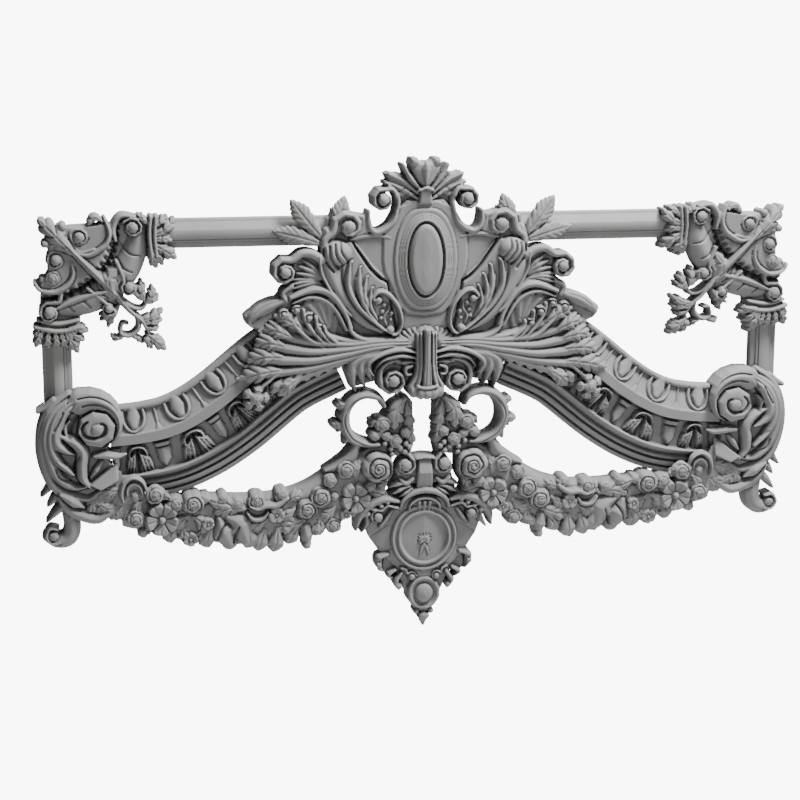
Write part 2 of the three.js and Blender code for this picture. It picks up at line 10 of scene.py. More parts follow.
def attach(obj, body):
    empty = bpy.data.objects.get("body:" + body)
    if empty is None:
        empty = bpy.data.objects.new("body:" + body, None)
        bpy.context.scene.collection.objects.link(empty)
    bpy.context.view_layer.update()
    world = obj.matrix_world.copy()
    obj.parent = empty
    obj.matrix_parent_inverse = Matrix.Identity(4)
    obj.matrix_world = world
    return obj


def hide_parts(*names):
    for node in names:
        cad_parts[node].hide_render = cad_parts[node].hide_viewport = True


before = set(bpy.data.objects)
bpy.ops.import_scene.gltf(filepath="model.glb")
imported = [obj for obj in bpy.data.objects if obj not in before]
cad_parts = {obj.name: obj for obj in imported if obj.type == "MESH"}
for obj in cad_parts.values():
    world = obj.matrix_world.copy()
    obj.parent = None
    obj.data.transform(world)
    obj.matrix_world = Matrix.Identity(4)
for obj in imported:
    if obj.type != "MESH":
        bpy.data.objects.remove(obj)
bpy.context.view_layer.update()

# Millimetres: x to the right, z up, heights out of the back plane. The right half is drawn.
# Sample spacing of the carvings, and of the cartouche, which is the largest
CELL = 1.4
COARSE = 1.74
# Highest point, least height, and the heights at which backs clear the frame and the arms
TALLEST = 85.8
THINNEST = 4
OVER_RAIL = 30.3
OVER_ARM = 44.3
# Joint between neighbouring carvings
GAP = 0.3
# Width of the cut line round a form, and of the samples kept round a form for it
CUT_WIDTH = 4
MARGIN = 5
# Stands for a distance to something that isn't near
NOWHERE = 60.0
# Least distance of a sample from an outline, and least thickness over a moulding
LEAST_OFF = 0.05
LEAST_OVER = 3
# Angle from which an edge stays sharp, in degrees
SHARP = 50


def spline(points, steps=10):
    """Smooth path through the points, as an array of points."""
    p = np.asarray(points, float)
    if len(p) < 3:
        return p
    ends = np.vstack([p[0], p, p[-1]])
    out = []
    for i in range(len(p) - 1):
        a, b, c, d = ends[i:i + 4]
        t = np.linspace(0, 1, steps, endpoint=False)[:, None]
        v0, v1 = (c - a) / 2, (d - b) / 2
        out.append((2 * b - 2 * c + v0 + v1) * t ** 3 + (3 * c - 3 * b - 2 * v0 - v1) * t ** 2 + v0 * t + b)
    return np.vstack(out + [p[-1:]])


def spiral(x, z, r, start, way, turns, rate, sides):
    """Corners of a coil that winds in to its eye, anticlockwise for way 1."""
    a = np.linspace(0, 2 * math.pi * turns, int(sides * turns) + 1)
    radius = r * np.exp(-rate * a)
    return np.stack([x + radius * np.cos(start + way * a), z + radius * np.sin(start + way * a)], 1)


def ramp(values, t):
    """Values spread evenly from t 0 to 1, read between."""
    values = np.atleast_1d(np.asarray(values, float))
    if len(values) == 1:
        return np.full_like(t, values[0])
    return np.interp(t, np.linspace(0, 1, len(values)), values)


def outline_distance(x, z, outline):
    """Signed distance of samples outside a closed outline."""
    near = np.full(x.shape, 1e9)
    inside = np.zeros(x.shape, bool)
    for (ax, az), (bx, bz) in zip(outline, np.roll(outline, -1, 0)):
        dx, dz = bx - ax, bz - az
        t = np.clip(((x - ax) * dx + (z - az) * dz) / max(dx * dx + dz * dz, 1e-9), 0, 1)
        near = np.minimum(near, (x - ax - t * dx) ** 2 + (z - az - t * dz) ** 2)
        if az != bz:
            inside ^= ((az > z) != (bz > z)) & (x < ax + (z - az) * dx / dz)
    return np.sqrt(near) * np.where(inside, -1, 1)


def smooth(low, high, value):
    """Eased step from 0 at low to 1 at high."""
    t = np.clip((value - low) / (high - low), 0, 1)
    return t * t * (3 - 2 * t)


# Sections of a moulding, from 0 on its middle line to 1 at its edge
SECTIONS = {
    "round": lambda s: np.sqrt(1 - s * s),
    "gable": lambda s: 1 - s,
    "ridge": lambda s: 1 - s ** 1.7,
    "flat": lambda s: 1 - smooth(0.7, 1.0, s),
}


class Relief:
    """Carving as a height over the back plane, on a square grid of samples."""

    def __init__(self, x0, x1, z0, z1, cell=CELL):
        self.cell = cell
        self.x0 = math.floor(x0 / cell) * cell
        self.z0 = math.floor(z0 / cell) * cell
        self.nx = math.ceil((x1 - x0) / cell)
        self.nz = math.ceil((z1 - z0) / cell)
        self.height = np.zeros((self.nz, self.nx))
        self.edge = np.full((self.nz, self.nx), NOWHERE)
        self.room = None
        self.floor = None

    def samples(self, rows, columns):
        """Places of the samples in a range of rows and columns."""
        x = self.x0 + (np.arange(*columns) + 0.5) * self.cell
        z = self.z0 + (np.arange(*rows) + 0.5) * self.cell
        return np.meshgrid(x, z)

    def grid(self):
        """Places of all samples."""
        return self.samples((0, self.nz), (0, self.nx))

    def window(self, points, reach):
        """The samples round some points: their slice, and their places."""
        p = np.asarray(points, float)
        low, high = p.min(0) - reach, p.max(0) + reach
        c0, c1 = int((low[0] - self.x0) / self.cell), int((high[0] - self.x0) / self.cell) + 1
        r0, r1 = int((low[1] - self.z0) / self.cell), int((high[1] - self.z0) / self.cell) + 1
        c0, r0 = max(c0, 0), max(r0, 0)
        c1, r1 = max(min(c1, self.nx), c0), max(min(r1, self.nz), r0)
        return (slice(r0, r1), slice(c0, c1)), *self.samples((r0, r1), (c0, c1))

    def lay(self, view, outside, height, moat=2.5):
        """Adds a form: its signed distance outside its outline, its height, and a cut line round it."""
        had, there = self.height[view], self.edge[view] < 1.5 * self.cell
        share = np.clip(0.5 - outside / self.cell, 0, 1)
        rim = (outside > 0) & (outside < CUT_WIDTH) & there & (had < height + 4)
        cut = np.where(rim, had - moat * (1 - outside / CUT_WIDTH) ** 2, had)
        top = np.maximum(height, cut)
        mixed = cut + (top - cut) * share
        fresh = ~there & (outside < 2 * self.cell)
        self.height[view] = np.where(fresh, height, np.where(there, mixed, had))
        self.edge[view] = np.minimum(self.edge[view], outside)

    def follow(self, path, reach):
        """Window round a path, with how far along it and how far away each sample is.

        Then come the path's length, and 1 for samples on its left and -1 on its right.
        """
        view, x, z = self.window(path, reach)
        a, b = path[:-1], path[1:]
        run = b - a
        length = np.maximum(np.hypot(run[:, 0], run[:, 1]), 1e-6)
        before = np.concatenate([[0], np.cumsum(length)])
        near = np.full(x.shape, 1e9)
        along = np.zeros_like(x)
        left = np.zeros_like(x)
        for k in range(len(a)):
            dx, dz = x - a[k, 0], z - a[k, 1]
            raw = (dx * run[k, 0] + dz * run[k, 1]) / length[k]
            on = np.clip(raw, 0, length[k])
            ex, ez = dx - run[k, 0] * on / length[k], dz - run[k, 1] * on / length[k]
            away = ex * ex + ez * ez
            closer = away < near
            near = np.where(closer, away, near)
            along = np.where(closer, before[k] + on, along)
            side = np.where(run[k, 0] * dz - run[k, 1] * dx >= 0, 1.0, -1.0)
            left = np.where(closer, side, left)
        return view, along / before[-1], np.sqrt(near), before[-1], left

    def plate(self, outline, top, drop=4, soft=4, moat=2.5, curved=False):
        """Ground inside an outline. Its rim is eased down by the drop, over the soft width.

        The top is a height, or the heights of places x and z. The moat is how deep the line round it is cut.
        """
        p = spline(list(outline) + [outline[0]], 6)[:-1] if curved else np.asarray(outline, float)
        view, x, z = self.window(p, MARGIN + 1)
        outside = outline_distance(x, z, p)
        level = top(x, z) if callable(top) else top
        self.lay(view, outside, level - drop * (1 - np.clip(-outside / soft, 0, 1)) ** 2, moat)

    def stroke(self, points, width, top, depth=6, form="round", moat=2.5, raw=False):
        """Moulding along a path. Width and top are read along it, and its edges lie deeper by the depth.

        The form is its section. A raw path is taken as it is, without smoothing.
        """
        path = np.asarray(points, float) if raw else spline(points)
        view, t, away, _, _ = self.follow(path, float(np.max(width)) / 2 + MARGIN)
        half = np.maximum(ramp(width, t) / 2, 0.6)
        s = np.clip(away / half, 0, 1)
        self.lay(view, away - half, ramp(top, t) - depth * (1 - SECTIONS[form](s)), moat)

    def rib(self, points, width, top, depth=8, moat=4, raw=False):
        """Ridged moulding with a deep cut line, as most leaves and scrolls are made of."""
        self.stroke(points, width, top, depth, "ridge", moat, raw)

    def leaf(self, points, width, top, lobes, cut, depth=9, vein=2.5, slant=0.8, root=0.5, moat=5, peak=0.4,
             rib=-2.0):
        """Carved leaf with lobes that sweep forward, veins between them and a middle line.

        Cut is how far the gaps between lobes reach in, depth how much the leaf falls to its edge, root its
        width at the start, peak where it is widest, and rib the height of its middle line over it.
        """
        view, t, away, run, _ = self.follow(spline(points), width * 0.6 + MARGIN)
        u = np.clip(t - slant * away / run, 0, 1)
        tip = np.clip((1 - t) / 0.32, 0, 1) ** 0.65
        swell = root + (1 - root) * np.sin(np.clip(u / peak, 0, 1) * math.pi / 2)
        point = np.cos(np.clip((u - peak) / (1 - peak), 0, 1) ** 1.3 * math.pi / 2) ** 0.8
        share = lobes * u % 1.0
        tooth = np.sin(math.pi * share) ** 0.6
        half = width / 2 * swell * point * tip * (1 - cut * (1 - tooth) * smooth(0, 0.15, u + 0.1))
        half = np.maximum(half, 0.8)
        s = np.clip(away / half, 0, 1)
        gap = np.minimum(share, 1 - share)
        veins = vein * np.exp(-(gap / 0.09) ** 2) * smooth(0.1, 0.5, s) * tip
        fold = rib * np.exp(-(away / 1.6) ** 2)
        outside = away - half + 3 * smooth(0.9, 1.0, t)
        self.lay(view, outside, ramp(top, t) - depth * s ** 2 - veins + fold, moat)

    def plume(self, points, spread, top, fingers, width, depth, moat, short):
        """Bundle of ribs that share a root and part into pointed fingers."""
        path = spline(points, 8)
        way = np.gradient(path, axis=0)
        way /= np.maximum(np.hypot(*way.T), 1e-6)[:, None]
        square = np.stack([-way[:, 1], way[:, 0]], 1)
        t = np.linspace(0, 1, len(path))
        for q in sorted(np.linspace(-1, 1, fingers), key=lambda spot: -abs(spot)):
            n = max(4, int(round(len(path) * (1 - short * abs(q)))))
            off = q * spread / 2 * (0.12 + 0.88 * t ** 1.3)
            lane = (path + square * off[:, None])[:n]
            level = np.interp(np.linspace(0, 1, 5), np.linspace(0, 1, len(top)), top) - 2.5 * abs(q)
            widths = [0.55 * width, 0.9 * width, width, 0.85 * width, 0.25 * width]
            self.rib(lane, widths, level, depth, moat, raw=True)

    def scroll(self, x, z, r, start, way, top, lead, turns=1.15, rate=0.1, depth=10, moat=4, eye=0.36,
               stem=None, sides=9):
        """Coiled scroll on its own ground, with a faceted eye.

        Start is the angle at which the coil begins, top its height there and at the eye, and lead the
        stem's points. Turns and rate say how far and how fast it winds in.
        """
        low, high = top
        thick = 0.36 * r
        coil = spiral(x, z, r - thick / 2, start, way, turns, rate, sides)
        self.plate(coil[:sides + 1], low - 0.8 * depth, 1, 1, 0)
        if lead:
            path = spline(list(lead) + [coil[0], coil[1]], 8)
            self.stroke(path, [stem or thick, thick], low, depth, "round", moat, raw=True)
        fade = 1 - 0.35 * np.linspace(0, 1, 12)
        self.rib(coil, thick * fade, np.linspace(low, 0.4 * low + 0.6 * high, 6), depth, moat, raw=True)
        self.boss(x, z, eye * r, high, 0.75 * eye * r, moat, sides=7)

    def boss(self, x, z, r, top, depth, moat=2.5, tall=1.0, flat=0.0, sides=0, turn=0.3):
        """Rounded boss; tall stretches it upwards, flat leaves a level middle, sides facet it."""
        view, gx, gz = self.window([[x, z]], r * max(1, tall) + MARGIN)
        dx, dz = gx - x, (gz - z) / tall
        away = np.hypot(dx, dz)
        if sides:
            rays = [turn + 2 * math.pi * k / sides for k in range(sides)]
            facets = np.max([dx * math.cos(a) + dz * math.sin(a) for a in rays], axis=0)
            away = 0.94 * facets + 0.06 * away
        s = np.clip((away / r - flat) / (1 - flat), 0, 1)
        self.lay(view, away - r, top - depth * (1 - np.sqrt(1 - s * s)), moat)

    def rose(self, x, z, r, top, turn):
        """Rose: petals wound in a spiral, each with a high rim and a dark gap behind it."""
        view, gx, gz = self.window([[x, z]], r + MARGIN)
        dx, dz = gx - x, gz - z
        away, angle = np.hypot(dx, dz), np.arctan2(dz, dx) + turn
        outer = r * (0.9 + 0.1 * np.abs(np.cos(2.5 * angle)) ** 0.6)
        q = np.clip(away / outer, 0.17, 1)
        # Each turn of the spiral is this much smaller than the one round it
        tight = 0.54
        share = (np.log(q) / math.log(tight) + angle / (2 * math.pi)) % 1.0
        petal = smooth(0.0, 0.42, 1 - share) * (1 - 0.3 * (1 - share) ** 3)
        gaps = (0.1 + 0.34 * q) * r * (1 - petal)
        height = top - 0.42 * r * q ** 1.5 - gaps + 0.04 * r * np.cos(5 * angle) * q
        self.lay(view, away - outer, height, 3)

    def flower(self, x, z, r, top, petals, turn, depth=None, heart=0.2):
        """Open flower: broad cupped petals, creased apart, round a button."""
        depth = 0.3 * r if depth is None else depth
        view, gx, gz = self.window([[x, z]], r + MARGIN)
        dx, dz = gx - x, gz - z
        away, angle = np.hypot(dx, dz), np.arctan2(dz, dx) + turn
        lobe = np.abs(np.cos(petals * angle / 2))
        outer = r * (0.72 + 0.28 * np.minimum(1, 1.4 * lobe ** 0.5))
        s = np.clip(away / outer, 0, 1)
        cup = depth * (1.2 * (1 - s) ** 1.4 + 1.5 * smooth(0.8, 1.0, s))
        crease = 0.22 * r * np.exp(-(lobe / 0.13) ** 2) * smooth(0.1, 0.4, s)
        fold = 0.05 * r * np.exp(-((1 - lobe) / 0.02) ** 2) * smooth(0.2, 0.5, s)
        height = top - 0.1 * r - cup - crease - fold
        button = np.clip(away / (heart * r), 0, 1)
        dot = top - 0.3 * r * (1 - np.sqrt(1 - button ** 2))
        height = np.where(button < 1, np.maximum(height, dot), height)
        height -= 1.5 * np.exp(-((away - heart * r) / 1.4) ** 2)
        self.lay(view, away - outer, height, 3)

    def oval(self, x, z, rx, rz, rings):
        """Oval boss from [growth beyond the oval, height] rings, outermost first."""
        reach = rings[0][0]
        far_x, far_z = rx + reach, rz + reach
        view, gx, gz = self.window([[x - far_x, z - far_z], [x + far_x, z + far_z]], MARGIN)
        q = np.hypot((gx - x) / rx, (gz - z) / rz)
        near = np.hypot((gx - x) / rx ** 2, (gz - z) / rz ** 2)
        growth = q * (q - 1) / np.maximum(near, 1e-6)
        grown = np.array([g for g, _ in rings])[::-1]
        tops = np.array([h for _, h in rings])[::-1]
        self.lay(view, growth - reach, np.interp(growth, grown, tops))

    def cut(self, points, width, depth, raw=False):
        """Incised line."""
        path = np.asarray(points, float) if raw else spline(points)
        view, t, away, _, _ = self.follow(path, float(np.max(width)) + 2)
        half = np.maximum(ramp(width, t) / 2, 0.4)
        self.height[view] -= ramp(depth, t) * np.exp(-(away / half) ** 2)

    def ease(self, reach, drop):
        """Rounds the carving back along its outer edge."""
        self.height -= drop * np.clip(1 + self.edge / reach, 0, 1) ** 2

    def keep_off(self, other, gap):
        """Ends this carving a gap short of another."""
        x, z = self.grid()
        column, row = (x - other.x0) / other.cell - 0.5, (z - other.z0) / other.cell - 0.5
        c, r = np.clip(column.astype(int), 0, other.nx - 2), np.clip(row.astype(int), 0, other.nz - 2)
        u, v = np.clip(column - c, 0, 1), np.clip(row - r, 0, 1)
        low = other.edge[r, c] * (1 - u) + other.edge[r, c + 1] * u
        high = other.edge[r + 1, c] * (1 - u) + other.edge[r + 1, c + 1] * u
        theirs = low * (1 - v) + high * v
        far = (column < -0.5) | (column > other.nx - 0.5) | (row < -0.5) | (row > other.nz - 0.5)
        self.edge = np.maximum(self.edge, np.where(far, -NOWHERE, gap - theirs))

    def mirrored(self):
        """The whole width, from a half that starts at the middle."""
        whole = Relief.__new__(Relief)
        whole.__dict__.update(self.__dict__)
        whole.x0, whole.nx = -self.nx * self.cell, 2 * self.nx
        whole.height = np.hstack([self.height[:, ::-1], self.height])
        whole.edge = np.hstack([self.edge[:, ::-1], self.edge])
        if self.room is not None:
            whole.room = np.hstack([self.room[:, ::-1], self.room])
            whole.floor = np.hstack([self.floor[:, ::-1], self.floor])
        return whole

    def polygon_distance(self, outline):
        """Signed distance of each sample outside an outline."""
        return outline_distance(*self.grid(), np.asarray(outline, float))

    def box_distance(self, x0, x1, z0, z1):
        """Signed distance of each sample outside a box with the joint's gap round it."""
        x, z = self.grid()
        return np.maximum(np.maximum(x0 - x, x - x1), np.maximum(z0 - z, z - z1)) - GAP

    def arm_distance(self):
        """Signed distance of each sample outside the pediment arm."""
        out = np.full((self.nz, self.nx), NOWHERE)
        view, t, away, run, left = self.follow(ARM_EDGE, ARM_WIDTH + 12)
        down = -left * away
        band = np.maximum(-down, down - ARM_WIDTH)
        # The rim stays a little inside the arm's ends
        ends = np.maximum(ARM_INSET - t * run, (t - 1) * run + ARM_INSET)
        out[view] = np.maximum(band - GAP, ends)
        return out

    def lie_over(self, boxes=(), arm=False):
        """Marks where the carving lies over a moulding, and how high its back is there."""
        self.room = np.full((self.nz, self.nx), NOWHERE)
        self.floor = np.full((self.nz, self.nx), OVER_RAIL)
        for box in boxes:
            self.room = np.minimum(self.room, self.box_distance(*box))
        if arm:
            distance = self.arm_distance()
            self.floor = np.where(distance < self.room, OVER_ARM, self.floor)
            self.room = np.minimum(self.room, distance)


def largest(mask):
    """Keeps the largest connected patch of the mask."""
    left = mask.copy()
    best = None
    rows, cols = mask.shape
    while left.any():
        start = tuple(np.argwhere(left)[0])
        patch, queue = [start], [start]
        left[start] = False
        while queue:
            r, c = queue.pop()
            for i, j in ((r + 1, c), (r - 1, c), (r, c + 1), (r, c - 1)):
                if 0 <= i < rows and 0 <= j < cols and left[i, j]:
                    left[i, j] = False
                    patch.append((i, j))
                    queue.append((i, j))
        if best is None or len(patch) > len(best):
            best = patch
        if len(best) > left.sum():
            break
    out = np.zeros_like(mask)
    index = np.array(best)
    out[index[:, 0], index[:, 1]] = True
    return out


def fill_corners(mask):
    """Fills samples so that no two touch by a corner alone."""
    while True:
        a, b, c, d = mask[:-1, :-1], mask[:-1, 1:], mask[1:, :-1], mask[1:, 1:]
        one, two = a & d & ~b & ~c, b & c & ~a & ~d
        if not (one.any() or two.any()):
            return mask
        mask[:-1, 1:] |= one
        mask[:-1, :-1] |= two


def enclosed(spots, starts, ends):
    """Which spots have an odd number of the edges to their right."""
    inside = np.zeros(len(spots), bool)
    x, z = spots.T
    for (ax, az), (bx, bz) in zip(starts, ends):
        if az != bz:
            inside ^= ((az > z) != (bz > z)) & (x < ax + (z - az) * (bx - ax) / (bz - az))
    return inside


def crossings(field):
    """Corner of each block of four samples, moved to where the field changes sign."""
    rows, cols = field.shape
    x, z = np.full((rows - 1, cols - 1), 0.5), np.full((rows - 1, cols - 1), 0.5)
    sx, sz, n = np.zeros_like(x), np.zeros_like(x), np.zeros_like(x)
    a, b, c, d = field[:-1, :-1], field[:-1, 1:], field[1:, :-1], field[1:, 1:]
    sides = ((a, b, 0, 0, 1, 0), (c, d, 0, 1, 1, 1), (a, c, 0, 0, 0, 1), (b, d, 1, 0, 1, 1))
    for p, q, px, pz, qx, qz in sides:
        crossed = (p < 0) != (q < 0)
        t = np.where(crossed, p / np.where(crossed, p - q, 1), 0)
        sx += np.where(crossed, px + (qx - px) * t, 0)
        sz += np.where(crossed, pz + (qz - pz) * t, 0)
        n += crossed
    moved = n > 0
    return np.where(moved, sx / np.maximum(n, 1), x), np.where(moved, sz / np.maximum(n, 1), z), moved


def spread(height, known):
    """Carries the heights three samples out past the carving's edge."""
    for _ in range(3):
        total, count = np.zeros_like(height), np.zeros_like(height)
        for shift in ((0, 1), (0, -1), (1, 0), (-1, 0)):
            total += np.roll(np.where(known, height, 0), shift, (0, 1))
            count += np.roll(known, shift, (0, 1))
        height = np.where(known, height, total / np.maximum(count, 1))
        known = known | (count > 0)
    return height


def rim_edges(mask, corner):
    """Edges round a mask of samples, each as the two corners that it joins, samples on its left."""
    out = []
    for dr, dc, first, second in (
            (-1, 0, (-1, -1), (-1, 0)), (0, 1, (-1, 0), (0, 0)), (1, 0, (0, 0), (0, -1)),
            (0, -1, (0, -1), (-1, -1))):
        i, j = np.nonzero(mask & ~np.roll(mask, (-dr, -dc), (0, 1)))
        out.append(np.stack([corner[i + first[0], j + first[1]], corner[i + second[0], j + second[1]]], 1))
    return np.vstack(out)


def flat_back(x, z, ring, nodes, spot):
    """Triangles that fill the edges of a ring with its openings, facing back."""
    local = {int(n): k for k, n in enumerate(nodes)}
    flat = [Vector((float(x[n]), float(z[n]))) for n in nodes]
    edges = [(local[int(a)], local[int(b)]) for a, b in ring]
    verts, _, tris, origin, _, _ = delaunay_2d_cdt(flat, edges, [], 1, 1e-6)
    key = [spot[int(nodes[o[0]])] if o else None for o in origin]
    where = np.array(verts)
    corners = where[np.array(tris)]
    kept = enclosed(corners.mean(1), where[[i for i, _ in edges]], where[[j for _, j in edges]])
    one, two = corners[:, 1] - corners[:, 0], corners[:, 2] - corners[:, 0]
    turned = one[:, 0] * two[:, 1] - one[:, 1] * two[:, 0] > 0
    loops = ([key[v] for v in tri] for tri in tris)
    return [loop[::-1] if turn else loop for loop, keep, turn in zip(loops, kept, turned) if keep]


def body_mesh(name, relief, warp=None):
    """Closed mesh of a relief: carved face, sides, and a flat back that steps over what it lies on."""
    edge, height = np.pad(relief.edge, 2, constant_values=NOWHERE), np.pad(relief.height, 2)
    inside = largest(fill_corners(edge < 0))
    # Samples on the line itself are moved off it
    edge = np.where(inside, np.minimum(edge, -LEAST_OFF), np.maximum(edge, LEAST_OFF))
    height = spread(height, edge < 1.4 * relief.cell)
    over = np.zeros_like(inside)
    floors = np.zeros_like(height)
    bx, bz, rim = crossings(edge)
    if relief.room is not None:
        laid = np.pad(relief.room, 2, constant_values=NOWHERE) < 0
        over = inside & laid
        below = np.pad(relief.floor, 2, mode="edge")
        floors = np.where(over, below, 0)
        height = np.maximum(height, np.where(laid, below + LEAST_OVER, 0))
        off = np.maximum(np.abs(np.pad(relief.room, 2, mode="edge")), LEAST_OFF)
        ox, oz, seam = crossings(np.where(over, -1, 1) * off)
        seam &= ~rim
        bx, bz = np.where(seam, ox, bx), np.where(seam, oz, bz)
    rows, cols = inside.shape
    corner = np.full((rows - 1, cols - 1), -1)
    used = np.zeros_like(corner, bool)
    for dr in (0, 1):
        for dc in (0, 1):
            used |= inside[dr:rows - 1 + dr, dc:cols - 1 + dc]
    corner[used] = np.arange(used.sum())
    rr, cc = np.nonzero(used)
    x = relief.x0 + (cc + bx[used] - 1.5) * relief.cell
    z = relief.z0 + (rr + bz[used] - 1.5) * relief.cell
    tall = (height[:-1, :-1] + height[:-1, 1:] + height[1:, :-1] + height[1:, 1:])[used] / 4
    tall = np.clip(tall, THINNEST, TALLEST)
    under = np.maximum.reduce([floors[:-1, :-1], floors[:-1, 1:], floors[1:, :-1], floors[1:, 1:]])[used]
    r, c = np.nonzero(inside)
    faces = np.stack([corner[r - 1, c - 1], corner[r - 1, c], corner[r, c], corner[r, c - 1]], 1).tolist()
    points = np.stack([x, -tall, z], 1).tolist()
    # Back corners: those on the back plane, then those over a moulding
    grounds = []
    for mask, level in ((inside & ~over, np.zeros_like(under)), (over, under)):
        if mask.any():
            ring = rim_edges(mask, corner)
            nodes = np.unique(ring)
            grounds.append((ring, nodes, {int(n): len(points) + k for k, n in enumerate(nodes)}))
            points += [[x[n], -level[n], z[n]] for n in nodes]
    raised = grounds[1][2] if len(grounds) > 1 else {}
    whole = {(int(a), int(b)) for a, b in rim_edges(inside, corner)}
    for ring, _, spot in grounds:
        stepped = {} if spot is raised else raised
        for a, b in ring.tolist():
            if (a, b) in whole:
                step_a, step_b = ([stepped[v]] if v in stepped else [] for v in (a, b))
                faces.append([b, a] + step_a + [spot[a], spot[b]] + step_b)
            elif spot is not raised:
                faces.append([raised[b], raised[a], spot[a], spot[b]])
    for ring, nodes, spot in grounds:
        faces += flat_back(x, z, ring, nodes, spot)
    places = np.array(points)
    if warp is not None:
        places = warp(places)
    mesh = bpy.data.meshes.new(name)
    mesh.from_pydata([(px / 1000, py / 1000, pz / 1000) for px, py, pz in places.tolist()], [], faces)
    mesh.polygons.foreach_set("use_smooth", [True] * len(mesh.polygons))
    return mesh


FRAME_HALF_WIDTH, FRAME_TOP = 803, 343
# Boxes of the frame's mouldings: x from and to, then z from and to
RAIL = (192, 570, 282, 343)
POST = (742, 803, -48, 118)
# Top edge of the arm, from the cartouche out to the volute
ARM_START, ARM_END, ARM_WIDTH, ARM_INSET = 253, 675, 206, 0.05
ARM_EDGE = spline([[ARM_START + share * (ARM_END - ARM_START), z] for share, z in (
    (0, 158), (0.265, 103), (0.54, 12), (0.7, -28), (0.83, -42), (1, -48))], 24)
# Fields that belong to the volute and to the pendant, where the swag's piece ends
VOLUTE_FIELD = [[633, 30], [633, -216], [648, -224], [652, -400], [960, -400], [960, 30]]
PENDANT_FIELD = [[-200, -176], [70, -176], [70, -258], [152, -308], [190, -400], [190, -700], [-200, -700]]


def cartouche_half():
    """Crown, oval, shield wings, scrolls, acanthus fan, clasp and sprig."""
    r = Relief(0, 412, -66, 470, COARSE)
    r.plate([(-4, 440), (46, 430), (62, 404), (60, 352), (66, 334), (80, 318), (103, 306), (120, 318),
             (128, 338), (150, 344), (211, 343), (211, 284), (222, 262), (240, 268), (282, 262), (300, 236),
             (288, 204), (300, 196), (318, 174), (345, 158), (366, 112), (300, 70), (238, 54), (202, 42),
             (176, 20), (160, -24), (110, -12), (70, 0), (-4, -26)], 38)
    shield_body(r)
    oval_boss(r)
    crown(r)
    shoulder(r)
    acanthus_fan(r)
    lower_scrolls(r)
    clasp(r)
    r.ease(4, 4)
    r.lie_over([RAIL, (206, 420, 341, 480), (120, 212, 358, 480)], arm=True)
    # Nothing of it hangs below the arm beyond the clasp
    x, z = r.grid()
    r.edge = np.where((x > 160) & (z < -27), np.maximum(r.edge, np.where(r.room < 0, -9, 1.0)), r.edge)
    return r


def shield_body(r):
    """Flat side panel, rolled wing with its feather leaf, and the C-scroll."""
    r.plate([(-4, 376), (40, 376), (62, 352), (66, 334), (82, 318), (103, 310), (120, 320), (136, 330),
             (160, 318), (158, 294), (140, 266), (120, 236), (98, 214), (80, 203), (74, 160), (62, 110),
             (40, 96), (-4, 96)], 46, 4, 5)
    # Faceted step between the hook and the shoulder
    r.plate([(118, 316), (128, 346), (148, 350), (160, 318), (150, 300), (122, 306)],
            lambda x, z: 50 + 0.1 * (x - 120))
    r.stroke([(76, 297), (112, 303), (158, 296)], [5, 8, 8], 52, 4)
    # Wing: a raised ground that rolls over along its outer rim
    wing = [(158, 292), (141, 265), (120, 235), (100, 214), (82, 202), (76, 160), (64, 100), (92, 100),
            (122, 112), (160, 132), (182, 158), (203, 186), (224, 226), (226, 268), (206, 286), (180, 290)]
    r.plate(wing, lambda x, z: 51 + 0.02 * (x - 80), 3, 3, 4)
    r.cut([(156, 290), (140, 264), (120, 234), (99, 213), (82, 203)], 5, 6)
    r.stroke([(150, 286), (132, 262), (112, 235), (90, 214)], 3, 53, 2, "round", 0)
    r.rib([(206, 270), (202, 226), (184, 186), (160, 152), (132, 122), (96, 100)], [34, 36, 34, 30, 24, 12],
          60, 9, 3)
    r.cut([(180, 262), (178, 208), (164, 172), (144, 144), (118, 120), (86, 102)], 3.5, 6)
    r.stroke([(226, 262), (222, 226), (203, 188), (181, 158), (160, 135)], [5, 7, 7, 7, 5], 61, 6)
    # Feather leaf: a long rib with fingers that part towards the middle
    r.rib([(86, 100), (120, 128), (148, 158), (166, 196), (164, 240), (158, 250)], [5, 9, 12, 14, 13, 5], 66)
    for (bx, bz), (mx, mz), (tx, tz), width in (
            ((100, 112), (128, 146), (146, 178), 9), ((112, 126), (136, 164), (150, 210), 12),
            ((126, 146), (142, 186), (142, 232), 13), ((118, 140), (132, 176), (128, 212), 11),
            ((104, 124), (120, 156), (117, 188), 9)):
        r.rib([(bx, bz), (mx, mz), (tx, tz), (tx - 5, tz + 6)], [4, width, width, 3], [60, 66, 64, 58], 7)
    # C-scroll round a small branch
    r.rib([(104, 160), (113, 171), (101, 184), (85, 181), (69, 166), (57, 145), (52, 120), (57, 100),
           (68, 92), (84, 101)], [6, 9, 10, 10, 9, 9, 9, 9, 9, 6], 64)
    r.boss(102, 166, 7.5, 66, 5)
    r.boss(77, 102, 8.5, 67, 6)
    r.stroke([(84, 112), (90, 130), (80, 146), (82, 158)], [4, 6, 6, 3], 58, 5)
    for x, z, size in ((94, 142, 5), (90, 156, 5), (74, 138, 5), (97, 128, 4.5), (76, 124, 4)):
        r.boss(x, z, size, 59, 4)
    r.rib([(100, 78), (140, 86), (160, 101), (168, 124)], [7, 11, 11, 6], 63, 7, 3.5)


